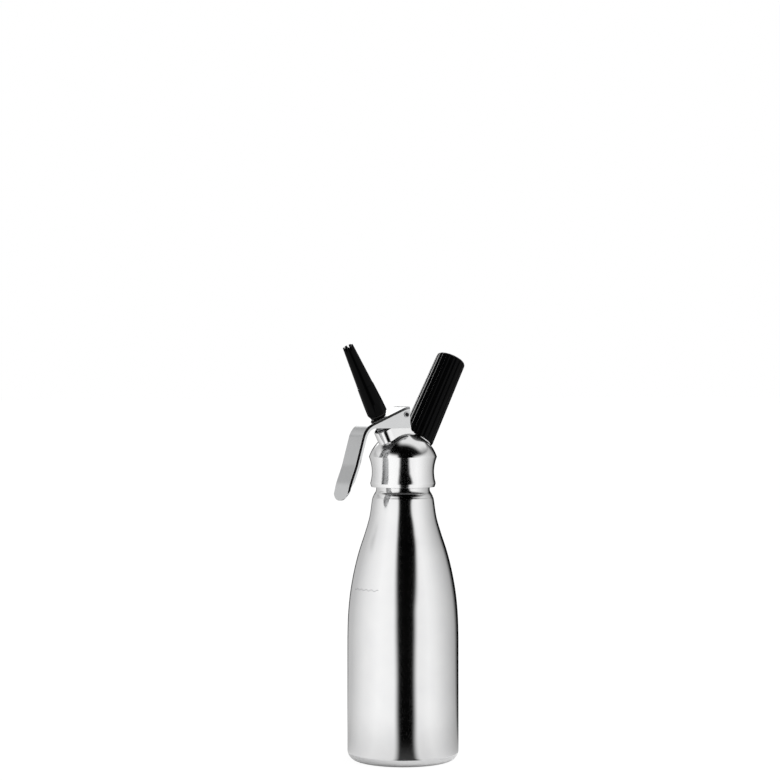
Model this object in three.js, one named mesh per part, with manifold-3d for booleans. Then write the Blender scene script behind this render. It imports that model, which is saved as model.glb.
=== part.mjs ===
import * as THREE from 'three';
import { mergeVertices } from 'three/addons/utils/BufferGeometryUtils.js';
import Module from 'manifold-3d';

const wasm = await Module();
wasm.setup();

// Cream whipper with a one litre steel bottle, a cast head, a squeeze lever, a decorating
// nozzle on the left leaning axis and a charger holder on the right leaning axis.
// Lengths are in millimetres and angles in degrees. The origin is the centre of the base.

// Clearances shared by all pieces
const seatGap = 0.3;
const cutOverrun = 1;

// Facets round a full turn
const largeFacets = 36;
const mediumFacets = 24;
const smallFacets = 18;

// Bottle
const bottleRadius = 47.5;
const bottleWall = 1.2;
const bottleHeight = 252;
const baseCornerRadius = 8.5;
const straightHeight = 104;
const neckStep = 4.1;
const neckStepRise = 8.5;
const neckReveal = 2.8;
const threadRadius = 23.7;
const threadDepth = 0.8;
const threadLength = 17;
const rimWall = 2.4;

// Head seal
const gasketThickness = 2;

// Head casting, measured from the face that seats on the head seal
const collarDepth = 21.6;
const collarWall = 4;
const collarWaist = 1.4;
const collarFootHeight = 2.8;
const collarBevel = 0.95;
const collarBevelHeight = 2.4;
const rimRise = 4.1;
const domeOverhang = 6.8;
const domeCentreDrop = 5;
const domeWall = 4.5;
const axisDrop = 8.1;
const axisLean = 28.5;

// Valve pieces, measured along the leaning axis that they share with the nozzle
const stemRadius = 4;
const stemBoreRadius = 2.3;
const stemTailRadius = 2.2;
const stemPortRadius = 1.1;
const stemPortRise = 1.8;
const sealLap = 2.2;
const sealThickness = 1.8;
const stemNutFlats = 10;
const stemNutHeight = 2.4;
const bushLength = 4.4;
const bushWall = 1.9;
const bushChamfer = 1.2;
const oRingWidth = 2;
const oRingRoom = 1.5;
const springSeatThickness = 1;
const springWire = 1.3;
const springTurns = 4.25;
const springInnerRoom = 1.25;
const springOuterRoom = 1.05;
const springCollarLap = 0.25;
const springCollarThickness = 1.5;

// Valve boss on the casting
const bossWall = 1.8;
const bossReach = 3;
const bossChamfer = 0.5;
const flowRoom = 1;
const flowBoreLength = 4.5;
const plateOverBoss = 9.2;

// Lever pivot, from the seat face and the bottle axis, and the lug that carries it
const pivotBehindAxis = 4.3;
const pivotRise = 40.4;
const pinRadius = 2;
const pinHeadLap = 0.9;
const pinHeadThickness = 0.6;
const lugEyeWall = 1.88;
const lugEyeSweep = 153;
const lugRearReach = 6;
const lugRootFlare = 4.6;
const lugRootDepth = 20.5;

// Lever, a channel folded from sheet
const leverSideGap = 0.4;
const leverSheet = 1.2;
const leverFoldRadius = 2.2;
const plateSlope = 21.7;
const plateMargin = 3.86;
const leverBendRadius = 18;
const leverBendAngle = 51.5;
const gripRun = 22;
const flareRadius = 62;
const flareBendAngle = 5.5;
const flareRun = 9;
const tipBendRadius = 45;
const tipBendAngle = 8;
const tipRun = 11.7;
const flangeDepth = 3.8;
const flangeDrop = 11.6;
const flangeCornerRadius = 1.5;
const flangeFillet = 9;
const rearReach = 6.4;
const rearCornerRadius = 4.6;
const tipRoundLength = 10;
const tipFlangeDepth = 1.8;
const slotSwing = 0.6;
const bendSteps = 8;

// Nozzle adapter, its washer and the nozzle
const adapterShankWall = 0.6;
const adapterDiscRadius = 7.15;
const adapterDiscThickness = 1;
const adapterStudRadius = 5;
const adapterStudLength = 10;
const nozzleWasherRadius = 7.6;
const nozzleWasherThickness = 1.2;
const nozzleLength = 64.3;
const nozzleFootRadius = 8.85;
const nozzleFootRound = 1.1;
const nozzleShoulderRise = 26.9;
const nozzleWall = 1.4;
const nozzleShoulderStep = 0.3;
const nozzleTipRadius = 4.85;
const nozzleTipWall = 1.2;
const nozzleSocketSpare = 1;
const nozzleTeeth = 7;
const nozzleToothTurn = -102;
const nozzleToothDepth = 4.4;
const nozzleToothGap = 2.5;
const nozzleFlats = 8;
const nozzleFlatCut = 0.72;
const nozzleFlatHeight = 10.5;

// Gas inlet, measured along the other leaning axis
const inletSpotRadius = 13;
const inletSpotTop = 31.1;
const inletStubRadius = 10.5;
const inletReach = 2;
const inletFootWall = 4.8;
const inletSeatRise = 5.2;
const inletMouthRoom = 1.7;
const inletMouthChamfer = 1.2;
const inletBodyRadius = 5;
const inletBodyLength = 8.5;
const inletTailRadius = 2.6;
const inletTailReach = 2.6;
const gasBoreRadius = 1.3;
const inletNutFlats = 9;
const inletNutHeight = 3;
const sleeveWall = 1.1;
const pinFlangeRadius = 3.4;
const pinFlangeThickness = 1;
const spikeRadius = 1.1;
const spikeLength = 4;
const spikeBoreRadius = 0.5;
const spikeTipWall = 0.15;
const neckSealWall = 1.9;
const neckSealThickness = 1.4;

// Charger, a standard eight gram size
const chargerLength = 66;
const chargerRadius = 9;
const chargerNeckRadius = 4.2;
const chargerNeckLength = 9.5;
const chargerShoulderLength = 8;
const chargerShoulderClear = 1.5;
const chargerWall = 1.9;
const chargerPierceRadius = 1.5;

// Charger holder, its thread liner and its end pad
const holderWall = 0.95;
const holderTaper = 1.35;
const holderEndRound = 3;
const holderFootRound = 0.8;
const holderRibStart = 2.4;
const holderCrown = 1;
const holderEndWall = 3.4;
const holderRibs = 18;
const holderRibDepth = 0.75;
const linerThickness = 1.5;
const padThickness = 1.2;

// Places and sizes that follow from those above
const rad = THREE.MathUtils.degToRad;
const mouthRadius = threadRadius - rimWall;
const neckRadius = threadRadius - threadDepth;
const neckRootRadius = neckRadius + neckStep;
const seatHeight = bottleHeight + seatGap + gasketThickness + seatGap;
const neckRootHeight = seatHeight - collarDepth - neckReveal - neckStepRise;
const socketRadius = threadRadius + seatGap;
const domeRadius = threadRadius + domeOverhang;
const vaultRadius = domeRadius - domeWall;

const springMeanRadius = stemRadius + springInnerRoom + springWire / 2;
const springPocketRadius = springMeanRadius + springWire / 2 + springOuterRoom;
const bushRadius = stemRadius + seatGap + bushWall;
const bushBoreRadius = bushRadius + seatGap;
const flowBoreRadius = stemRadius + flowRoom;
const bossRadius = springPocketRadius + bossWall;
const leverWidth = 2 * (bossRadius + leverSideGap + leverSheet);
const flangeY = leverWidth / 2 - leverSheet;

const lugEyeRadius = pinRadius + lugEyeWall;
const plateOffset = lugEyeRadius + seatGap + leverSheet;
const pivot = new THREE.Vector2(-pivotBehindAxis, pivotRise);
const valveHeading = new THREE.Vector2(-Math.sin(rad(axisLean)), Math.cos(rad(axisLean)));
const plateAcrossAxis = plateOffset
  + (pivotRise + axisDrop) * Math.cos(rad(plateSlope))
  + pivotBehindAxis * Math.sin(rad(plateSlope));
const plateOverAxis = plateAcrossAxis / Math.cos(rad(axisLean - plateSlope));
const plateTilt = Math.tan(rad(axisLean - plateSlope));
const plateUnderAxis = plateOverAxis - leverSheet / Math.cos(rad(axisLean - plateSlope));
// Where the valve axis crosses the plate, seen from the pivot
const plateCrossing = new THREE.Vector2(
  valveHeading.x * plateOverAxis - pivot.x,
  valveHeading.y * plateOverAxis - axisDrop - pivot.y,
);
const plateRun = bossRadius + plateMargin
  - plateCrossing.x * Math.cos(rad(plateSlope)) - plateCrossing.y * Math.sin(rad(plateSlope));

const bossFoot = vaultRadius - bossReach;
const bossTop = plateUnderAxis - plateOverBoss;
const bushFoot = bossFoot + flowBoreLength + seatGap;
const oRingFoot = bushFoot + bushLength + seatGap;
const pocketFloor = oRingFoot + oRingWidth + oRingRoom;
const springSeatTop = pocketFloor + seatGap + springSeatThickness;
const springCollarRadius = springMeanRadius + springWire / 2 + springCollarLap;
const springCollarTop = plateUnderAxis - springCollarRadius * plateTilt - seatGap;
const springCollarFoot = springCollarTop - springCollarThickness;
const adapterFoot = springCollarTop + seatGap;
const adapterDiscFoot = plateOverAxis + adapterDiscRadius * plateTilt + seatGap;
const adapterDiscTop = adapterDiscFoot + adapterDiscThickness;
const nozzleFoot = adapterDiscTop + seatGap + nozzleWasherThickness + seatGap;
const nozzleTip = nozzleFoot + nozzleLength;
const nozzleSocketRadius = adapterStudRadius + seatGap;

const inletFoot = vaultRadius - inletReach;
const inletSeat = inletFoot + inletSeatRise;
const inletNutFoot = inletFoot - seatGap - inletNutHeight;
const inletTailEnd = inletNutFoot - inletTailReach;
const inletBodyFoot = inletSeat + seatGap;
const inletBodyTop = inletBodyFoot + inletBodyLength;
const pinFlangeFoot = inletBodyTop + seatGap;
const chargerFoot = pinFlangeFoot + neckSealThickness + seatGap;
const inletStubTop = chargerFoot + chargerNeckLength - chargerShoulderClear;
const holderFoot = inletSpotTop + seatGap;
const linerRadius = inletStubRadius + seatGap + linerThickness;
const linerSeatRadius = linerRadius + seatGap;
const holderFootRadius = linerSeatRadius + holderWall + holderRibDepth;
const holderInnerEnd = chargerFoot + chargerLength + seatGap + padThickness + seatGap;
const holderTop = holderInnerEnd + holderEndWall;

// Turns a closed mesh into a solid for joins and cuts
function solid(geometry) {
  const bare = new THREE.BufferGeometry();
  bare.setAttribute('position', geometry.getAttribute('position').clone());
  if (geometry.index) bare.setIndex(geometry.index.clone());
  const welded = mergeVertices(bare);
  const index = welded.index.array;
  const corners = [];
  for (let i = 0; i < index.length; i += 3) {
    const [a, b, c] = [index[i], index[i + 1], index[i + 2]];
    if (a !== b && b !== c && c !== a) corners.push(a, b, c);
  }
  return new wasm.Manifold(new wasm.Mesh({
    numProp: 3,
    vertProperties: new Float32Array(welded.getAttribute('position').array),
    triVerts: new Uint32Array(corners),
  }));
}

// Turns a solid back into a mesh geometry
function shape(manifold) {
  const { vertProperties, triVerts } = manifold.getMesh();
  const geometry = new THREE.BufferGeometry();
  geometry.setAttribute('position', new THREE.BufferAttribute(new Float32Array(vertProperties), 3));
  geometry.setIndex(new THREE.BufferAttribute(new Uint32Array(triVerts), 1));
  geometry.computeVertexNormals();
  return geometry;
}

// Revolves a profile of radius and height pairs about +Z
function turned(profile, facets) {
  const points = profile.map(([radius, height]) => new THREE.Vector2(radius, height));
  const geometry = new THREE.LatheGeometry(points, facets);
  geometry.rotateX(Math.PI / 2);
  return shape(solid(geometry));
}

// A ring with a square section
function ring(inner, outer, low, high, facets) {
  return turned([[inner, low], [outer, low], [outer, high], [inner, high], [inner, low]], facets);
}

// A plain round bar used as a piece or a cutter
function bar(radius, low, high, facets) {
  return turned([[0, low], [radius, low], [radius, high], [0, high]], facets);
}

// Extrudes an outline drawn in X and Z across the symmetry plane
function across(outline, halfWidth, foldRadius, curveFacets) {
  const bevel = foldRadius > 0;
  const geometry = new THREE.ExtrudeGeometry(new THREE.Shape(outline), {
    depth: 2 * (halfWidth - foldRadius),
    steps: 1,
    bevelEnabled: bevel,
    bevelThickness: foldRadius,
    bevelSize: foldRadius,
    bevelOffset: -foldRadius,
    bevelSegments: curveFacets,
  });
  geometry.rotateX(Math.PI / 2);
  geometry.translate(0, halfWidth - foldRadius, 0);
  return geometry;
}

// A hexagonal bar across its flats
function hexagon(flats, low, high) {
  const corner = flats / 2 / Math.cos(Math.PI / 6);
  return bar(corner, low, high, 6);
}

// Places a geometry on a leaning axis of the head
function leaning(geometry, side) {
  const placed = geometry.clone();
  placed.rotateY(side * rad(axisLean));
  placed.translate(0, 0, -axisDrop);
  return placed;
}

function finish(color, roughness, metalness) {
  return new THREE.MeshStandardMaterial({ color, roughness, metalness });
}

function piece(name, geometry, material) {
  const mesh = new THREE.Mesh(geometry, material);
  mesh.name = name;
  return mesh;
}

// Bottle shell, drawn from one outline for the outside and one for the inside

// Height up the shoulder and how far the radius still stands out from the neck root
const shoulderShares = [
  [0, 1], [0.155, 0.976], [0.31, 0.9], [0.466, 0.75], [0.62, 0.535], [0.77, 0.255], [0.88, 0.08], [1, 0],
];
// Height up the neck step and how far the radius still stands out from the neck
const neckStepShares = [[0.22, 0.88], [0.5, 0.52], [0.78, 0.14], [1, 0]];
const outerShoulderSteps = 13;
const innerShoulderSteps = 8;

function bottleSide(wall) {
  const rise = neckRootHeight - straightHeight;
  const outer = bottleRadius - wall;
  const root = neckRootRadius - wall;
  const neck = neckRadius - wall;
  const stations = shoulderShares.map(([up, out]) => new THREE.Vector2(
    root + (outer - root) * out,
    straightHeight + rise * up,
  ));
  const steps = wall > 0 ? innerShoulderSteps : outerShoulderSteps;
  const shoulder = new THREE.SplineCurve(stations).getPoints(steps);
  const side = shoulder.map((point) => [point.x, point.y]);
  for (const [up, out] of neckStepShares) {
    side.push([neck + (root - neck) * out, neckRootHeight + neckStepRise * up]);
  }
  return side;
}

function baseCorner(wall) {
  const radius = baseCornerRadius - wall;
  const centre = bottleRadius - baseCornerRadius;
  const corner = [];
  const steps = wall > 0 ? 3 : 5;
  for (let i = 0; i <= steps; i += 1) {
    const angle = (i / steps) * Math.PI / 2;
    corner.push([centre + radius * Math.sin(angle), baseCornerRadius - radius * Math.cos(angle)]);
  }
  return corner;
}

function bottleShell() {
  const threadFoot = bottleHeight - threadLength;
  const inside = [...baseCorner(bottleWall), ...bottleSide(bottleWall)];
  const profile = [
    [0, 0],
    ...baseCorner(0),
    ...bottleSide(0),
    [neckRadius, threadFoot],
    [threadRadius, threadFoot + threadDepth],
    [threadRadius, bottleHeight],
    [mouthRadius, bottleHeight],
    [mouthRadius, threadFoot],
    ...inside.reverse(),
    [0, bottleWall],
  ];
  return turned(profile, largeFacets);
}

// Head seal, lying on the bottle's rim inside the collar
function headGasket() {
  const low = -seatGap - gasketThickness;
  return ring(mouthRadius, threadRadius, low, -seatGap, mediumFacets);
}

// Head casting: collar, sharp rim and dome in one turned form
const waistSteps = 7;
const domeSteps = 9;

function arc(centreX, centreZ, radius, from, to, steps) {
  const points = [];
  for (let i = 0; i <= steps; i += 1) {
    const angle = rad(from + ((to - from) * i) / steps);
    points.push([centreX + radius * Math.cos(angle), centreZ + radius * Math.sin(angle)]);
  }
  return points;
}

function domeOutside() {
  const collarFootRadius = socketRadius + collarWall;
  const waistRadius = collarFootRadius - collarWaist;
  const rimAngle = THREE.MathUtils.radToDeg(Math.asin((rimRise + domeCentreDrop) / domeRadius));
  const rimRadius = domeRadius * Math.cos(rad(rimAngle));
  const footTop = -collarDepth + collarFootHeight;
  const pull = 2 * waistRadius - (collarFootRadius + rimRadius) / 2;
  const waist = new THREE.QuadraticBezierCurve(
    new THREE.Vector2(collarFootRadius, footTop),
    new THREE.Vector2(pull, (footTop + rimRise) / 2),
    new THREE.Vector2(rimRadius, rimRise),
  ).getPoints(waistSteps).map((point) => [point.x, point.y]);
  const dome = arc(0, -domeCentreDrop, domeRadius, rimAngle, 90, domeSteps);
  return turned([
    [0, -collarDepth],
    [socketRadius, -collarDepth],
    [collarFootRadius - collarBevel, -collarDepth],
    [collarFootRadius, -collarDepth + collarBevelHeight],
    ...waist,
    ...dome.slice(1, -1),
    [0, domeRadius - domeCentreDrop],
  ], largeFacets);
}

function headCavity() {
  const springing = THREE.MathUtils.radToDeg(Math.acos(mouthRadius / vaultRadius));
  const vault = arc(0, -domeCentreDrop, vaultRadius, springing, 90, 5);
  return turned([
    [0, -collarDepth - cutOverrun],
    [socketRadius, -collarDepth - cutOverrun],
    [socketRadius, 0],
    [mouthRadius, 0],
    ...vault.slice(0, -1),
    [0, vaultRadius - domeCentreDrop],
  ], largeFacets);
}

// The lug rises from the dome to the pivot eye and runs into the side of the valve boss
function leverLug() {
  const outline = new THREE.Shape();
  const domeTop = domeRadius - domeCentreDrop;
  const rootZ = domeTop - pivotRise;
  const bossAxis = new THREE.Vector2(pivotBehindAxis, -axisDrop - pivotRise);
  const along = (t) => new THREE.Vector2(
    bossAxis.x + valveHeading.x * t,
    bossAxis.y + valveHeading.y * t,
  );
  const bossShoulder = along(bossTop);
  const bossCore = along(pocketFloor);
  const bossRoot = along(bossFoot + flowBoreLength);
  outline.absarc(0, 0, lugEyeRadius, 0, rad(lugEyeSweep), false);
  outline.lineTo(
    bossShoulder.x + (bossRadius - bossChamfer) * valveHeading.y,
    bossShoulder.y - (bossRadius - bossChamfer) * valveHeading.x,
  );
  outline.lineTo(bossCore.x, bossCore.y);
  outline.lineTo(bossRoot.x, bossRoot.y);
  outline.lineTo(lugRearReach + lugRootFlare, -lugRootDepth);
  outline.lineTo(lugRearReach + lugRootFlare, rootZ - seatGap);
  outline.quadraticCurveTo(lugRearReach, rootZ, lugRearReach, -flangeDrop);
  outline.lineTo(lugEyeRadius, 0);
  const geometry = across(outline.getPoints(6), bossRadius, 0, 1);
  geometry.translate(pivot.x, 0, pivot.y);
  return geometry;
}

function crossBar(radius, halfLength, facets) {
  const geometry = bar(radius, -halfLength, halfLength, facets);
  geometry.rotateX(Math.PI / 2);
  geometry.translate(pivot.x, 0, pivot.y);
  return geometry;
}

function valveBoss() {
  return turned([
    [0, bossFoot],
    [bossRadius, bossFoot],
    [bossRadius, bossTop - bossChamfer],
    [bossRadius - bossChamfer, bossTop],
    [0, bossTop],
  ], mediumFacets);
}

function valveBore() {
  const bushShelf = bossFoot + flowBoreLength;
  return turned([
    [0, bossFoot - cutOverrun],
    [flowBoreRadius, bossFoot - cutOverrun],
    [flowBoreRadius, bushShelf],
    [bushBoreRadius, bushShelf],
    [bushBoreRadius, pocketFloor],
    [springPocketRadius, pocketFloor],
    [springPocketRadius, bossTop + cutOverrun],
    [0, bossTop + cutOverrun],
  ], smallFacets);
}

function inletBoss() {
  const inletShelf = vaultRadius + cutOverrun;
  const inletFootRadius = inletTailRadius + seatGap + inletFootWall;
  return turned([
    [0, inletFoot],
    [inletFootRadius, inletFoot],
    [inletFootRadius, inletShelf],
    [inletSpotRadius, inletShelf],
    [inletSpotRadius, inletSpotTop],
    [inletStubRadius, inletSpotTop],
    [inletStubRadius, inletStubTop - bossChamfer],
    [inletStubRadius - bossChamfer, inletStubTop],
    [0, inletStubTop],
  ], mediumFacets);
}

// Room cut round the stub so that the holder's foot can come down to its spot face
function holderRoom() {
  return bar(holderFootRadius + 2 * seatGap, inletSpotTop, inletStubTop, mediumFacets);
}

function inletBore() {
  const tailBore = inletTailRadius + seatGap;
  const bodyBore = inletBodyRadius + seatGap;
  const mouth = chargerNeckRadius + inletMouthRoom;
  return turned([
    [0, inletFoot - cutOverrun],
    [tailBore, inletFoot - cutOverrun],
    [tailBore, inletSeat],
    [bodyBore, inletSeat],
    [bodyBore, inletBodyTop],
    [mouth, inletBodyTop],
    [mouth, inletStubTop - inletMouthChamfer],
    [mouth + inletMouthChamfer + cutOverrun, inletStubTop + cutOverrun],
    [0, inletStubTop + cutOverrun],
  ], smallFacets);
}

function headCasting() {
  const valveSide = -1;
  const inletSide = 1;
  return shape(
    solid(domeOutside())
      .add(solid(leverLug()))
      .subtract(solid(headCavity()))
      .subtract(solid(leaning(holderRoom(), inletSide)))
      .add(solid(leaning(valveBoss(), valveSide)))
      .add(solid(leaning(inletBoss(), inletSide)))
      .subtract(solid(leaning(valveBore(), valveSide)))
      .subtract(solid(leaning(inletBore(), inletSide)))
      .subtract(solid(crossBar(pinRadius + seatGap, bossRadius + cutOverrun, smallFacets))),
  );
}

// Lever pin through the lug, its two ends upset into low heads outside the lever
function leverPin() {
  const flush = leverWidth / 2 + seatGap;
  const end = flush + pinHeadThickness;
  const pinHeadRadius = pinRadius + pinHeadLap;
  const geometry = turned([
    [0, -end],
    [pinHeadRadius - pinHeadThickness, -end],
    [pinHeadRadius, -flush],
    [pinRadius, -flush],
    [pinRadius, flush],
    [pinHeadRadius, flush],
    [pinHeadRadius - pinHeadThickness, end],
    [0, end],
  ], smallFacets);
  geometry.rotateX(Math.PI / 2);
  return geometry;
}

// Lever: the run of its outer face, seen from the side with the pivot at the origin

// Walks along straight and round stretches and keeps the heading at each point
function leverRun() {
  const heading = (angle) => new THREE.Vector2(-Math.cos(rad(angle)), -Math.sin(rad(angle)));
  const outward = (angle) => new THREE.Vector2(-Math.sin(rad(angle)), Math.cos(rad(angle)));
  const start = outward(plateSlope).multiplyScalar(plateOffset);
  start.addScaledVector(heading(plateSlope), -(rearReach + start.x) - rearCornerRadius);
  const run = [{ point: start, normal: outward(plateSlope) }];
  let place = start.clone();
  let angle = plateSlope;
  const straight = (length) => {
    place = place.clone().addScaledVector(heading(angle), length);
    run.push({ point: place, normal: outward(angle) });
  };
  const bend = (radius, turn, steps) => {
    const side = Math.sign(turn);
    const centre = place.clone().addScaledVector(outward(angle), -side * radius);
    for (let i = 1; i <= steps; i += 1) {
      const reached = angle + (turn * i) / steps;
      place = centre.clone().addScaledVector(outward(reached), side * radius);
      run.push({ point: place, normal: outward(reached) });
    }
    angle += turn;
  };
  straight(rearReach + rearCornerRadius + plateRun);
  bend(leverBendRadius, leverBendAngle, bendSteps);
  straight(gripRun);
  bend(flareRadius, -flareBendAngle, 2);
  straight(flareRun);
  bend(tipBendRadius, tipBendAngle, 2);
  straight(tipRun);
  return run;
}

function offsetRun(run, depth, tipDepth = depth) {
  const last = run.length - 1;
  return run.map(({ point, normal }, i) => point.clone().addScaledVector(
    normal,
    -(i > last - 2 ? tipDepth : depth),
  ));
}

// The fold rounds the outer edges of a body whose back lies well inside the channel
function channelBody(run, depth, halfWidth, foldRadius) {
  const face = offsetRun(run, depth);
  const rear = face[0];
  const tip = face[face.length - 1];
  const back = [
    new THREE.Vector2(tip.x + leverWidth, tip.y),
    new THREE.Vector2(rear.x, -leverWidth - flangeDrop),
  ];
  return across([...face, ...back], halfWidth, foldRadius, 3);
}

// Side outline that trims the two flanges and rounds the rear corner
function flangeTrim(run) {
  const edge = offsetRun(run, flangeDepth, tipFlangeDepth);
  const below = edge.slice(bendSteps).reverse();
  const outside = offsetRun(run, -cutOverrun);
  const far = outside[outside.length - 1];
  const near = outside[1];
  const trim = new THREE.Shape();
  const slope = rad(plateSlope);
  const cornerTop = plateOffset / Math.cos(slope) + Math.tan(slope) * (rearReach - rearCornerRadius);
  trim.moveTo(near.x, near.y);
  outside.slice(2).forEach((point) => trim.lineTo(point.x, point.y));
  trim.lineTo(far.x, far.y - leverWidth);
  trim.lineTo(below[0].x, far.y - leverWidth);
  below.forEach((point) => trim.lineTo(point.x, point.y));
  trim.quadraticCurveTo(
    below[below.length - 1].x + flangeFillet * Math.sin(slope),
    -flangeDrop,
    below[below.length - 1].x + flangeFillet,
    -flangeDrop,
  );
  trim.lineTo(rearReach - flangeCornerRadius, -flangeDrop);
  trim.quadraticCurveTo(rearReach, -flangeDrop, rearReach, -flangeDrop + flangeCornerRadius);
  trim.lineTo(rearReach, cornerTop - rearCornerRadius);
  trim.quadraticCurveTo(rearReach, cornerTop + seatGap, rearReach - rearCornerRadius, cornerTop);
  trim.lineTo(rearReach - rearCornerRadius, cornerTop + cutOverrun);
  return across(trim.getPoints(5), leverWidth, 0, 1);
}

// Front outline that gives the handle its round end
function tipTrim(run) {
  const tip = run[run.length - 1].point;
  const top = plateOffset + rearReach + leverWidth;
  const half = leverWidth / 2 + cutOverrun;
  const round = tip.y + tipRoundLength;
  const outline = new THREE.Shape();
  outline.moveTo(-half, top);
  outline.lineTo(half, top);
  outline.lineTo(half, round + tipRoundLength);
  outline.lineTo(leverWidth / 2, round);
  outline.absellipse(0, round, leverWidth / 2, tipRoundLength, 0, -Math.PI, true, 0);
  outline.lineTo(-half, round + tipRoundLength);
  const reach = leverWidth * 2;
  const geometry = new THREE.ExtrudeGeometry(new THREE.Shape(outline.getPoints(12)), {
    depth: 2 * reach + leverBendRadius,
    bevelEnabled: false,
  });
  geometry.rotateX(Math.PI / 2);
  geometry.rotateZ(Math.PI / 2);
  geometry.translate(tip.x - leverWidth / 2, 0, 0);
  return geometry;
}

// Slot in the plate for the adapter, long enough for the swing of the lever
function adapterSlot() {
  const radius = stemRadius + seatGap + adapterShankWall + seatGap;
  const outline = new THREE.Shape();
  outline.absarc(slotSwing, 0, radius, -Math.PI / 2, Math.PI / 2, false);
  outline.absarc(-slotSwing, 0, radius, Math.PI / 2, Math.PI * 1.5, false);
  const geometry = new THREE.ExtrudeGeometry(outline, {
    depth: leverSheet + 2 * cutOverrun,
    bevelEnabled: false,
    curveSegments: 10,
  });
  geometry.translate(slotSwing, 0, -leverSheet - cutOverrun);
  geometry.rotateY(-rad(plateSlope));
  geometry.translate(plateCrossing.x, 0, plateCrossing.y);
  return geometry;
}

function lever() {
  const run = leverRun();
  const pinHole = bar(pinRadius + seatGap, -leverWidth, leverWidth, smallFacets);
  pinHole.rotateX(Math.PI / 2);
  return shape(
    solid(channelBody(run, 0, leverWidth / 2, leverFoldRadius))
      .subtract(solid(channelBody(run, leverSheet, flangeY, leverFoldRadius - leverSheet)))
      .intersect(solid(flangeTrim(run)))
      .intersect(solid(tipTrim(run)))
      .subtract(solid(adapterSlot()))
      .subtract(solid(pinHole)),
  );
}

// Valve pieces, each placed along the leaning axis

const sealTop = bossFoot - seatGap;
const sealFoot = sealTop - sealThickness;
const stemNutTop = sealFoot - seatGap;
const stemNutFoot = stemNutTop - stemNutHeight;

function valveStem() {
  const floor = bossFoot + stemPortRise;
  const top = adapterDiscTop - seatGap;
  const body = turned([
    [0, stemNutFoot - seatGap],
    [stemTailRadius, stemNutFoot - seatGap],
    [stemTailRadius, bossFoot],
    [stemRadius, bossFoot],
    [stemRadius, top],
    [stemBoreRadius, top],
    [stemBoreRadius, floor],
    [0, floor],
  ], smallFacets);
  const port = bar(stemPortRadius, -stemRadius - cutOverrun, stemRadius + cutOverrun, 10);
  port.rotateX(Math.PI / 2);
  port.translate(0, 0, floor + stemPortRadius);
  const crossPort = port.clone().rotateZ(Math.PI / 2);
  return shape(solid(body).subtract(solid(port)).subtract(solid(crossPort)));
}

function stemSeal() {
  return ring(stemTailRadius + seatGap, flowBoreRadius + sealLap, sealFoot, sealTop, smallFacets);
}

function stemNut() {
  const nut = hexagon(stemNutFlats, stemNutFoot, stemNutTop);
  const bore = bar(
    stemTailRadius + seatGap,
    stemNutFoot - cutOverrun,
    stemNutTop + cutOverrun,
    smallFacets,
  );
  return shape(solid(nut).subtract(solid(bore)));
}

function guideBush() {
  const inner = stemRadius + seatGap;
  const top = bushFoot + bushLength;
  return turned([
    [inner, bushFoot],
    [bushRadius, bushFoot],
    [bushRadius, top - bushChamfer],
    [bushRadius - seatGap, top],
    [inner, top],
    [inner, bushFoot],
  ], smallFacets);
}

function guideRing() {
  const inner = stemRadius + seatGap;
  const middle = (inner + bushRadius) / 2;
  const section = (bushRadius - inner) / 2;
  const profile = [];
  const steps = 8;
  for (let i = 0; i <= steps; i += 1) {
    const angle = (i / steps) * Math.PI * 2;
    profile.push([
      middle + section * Math.cos(angle),
      oRingFoot + oRingWidth / 2 + (oRingWidth / 2) * Math.sin(angle),
    ]);
  }
  profile[steps] = [...profile[0]];
  return turned(profile, smallFacets);
}

function springSeat() {
  return ring(
    stemRadius + seatGap,
    springPocketRadius - seatGap,
    springSeatTop - springSeatThickness,
    springSeatTop,
    smallFacets,
  );
}

// Valve spring: one round wire on a helix with flat ends
const springStepsPerTurn = 8;

function springCurve() {
  const low = springSeatTop + seatGap + springWire / 2;
  const high = springCollarFoot - seatGap - springWire / 2;
  const steps = Math.round(springTurns * springStepsPerTurn);
  const points = [];
  for (let i = 0; i <= steps; i += 1) {
    const share = i / steps;
    const angle = share * springTurns * Math.PI * 2;
    points.push(new THREE.Vector3(
      springMeanRadius * Math.cos(angle),
      springMeanRadius * Math.sin(angle),
      low + (high - low) * share,
    ));
  }
  return points;
}

function valveSpring() {
  const path = springCurve();
  const sides = 6;
  const positions = [];
  const index = [];
  path.forEach((point, i) => {
    const radial = new THREE.Vector3(point.x, point.y, 0).normalize();
    const next = path[Math.min(i + 1, path.length - 1)];
    const last = path[Math.max(i - 1, 0)];
    const forward = next.clone().sub(last).normalize();
    const up = new THREE.Vector3().crossVectors(forward, radial).normalize();
    for (let k = 0; k < sides; k += 1) {
      const turn = (k / sides) * Math.PI * 2;
      const place = point.clone()
        .addScaledVector(radial, Math.cos(turn) * springWire / 2)
        .addScaledVector(up, Math.sin(turn) * springWire / 2);
      positions.push(place.x, place.y, place.z);
    }
  });
  for (let i = 0; i < path.length - 1; i += 1) {
    for (let k = 0; k < sides; k += 1) {
      const a = i * sides + k;
      const b = i * sides + ((k + 1) % sides);
      index.push(a, b, b + sides, a, b + sides, a + sides);
    }
  }
  const lastRing = (path.length - 1) * sides;
  for (let k = 1; k < sides - 1; k += 1) {
    index.push(0, k + 1, k);
    index.push(lastRing, lastRing + k, lastRing + k + 1);
  }
  const geometry = new THREE.BufferGeometry();
  geometry.setAttribute('position', new THREE.Float32BufferAttribute(positions, 3));
  geometry.setIndex(index);
  return shape(solid(geometry));
}

// Least gap between neighbouring coils, measured on the points of the helix
function springSelfGap() {
  const path = springCurve();
  const halfTurn = springStepsPerTurn / 2;
  let least = Infinity;
  path.forEach((point, i) => {
    for (let k = i + halfTurn; k < path.length; k += 1) {
      least = Math.min(least, point.distanceTo(path[k]) - springWire);
    }
  });
  return least;
}

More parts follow.
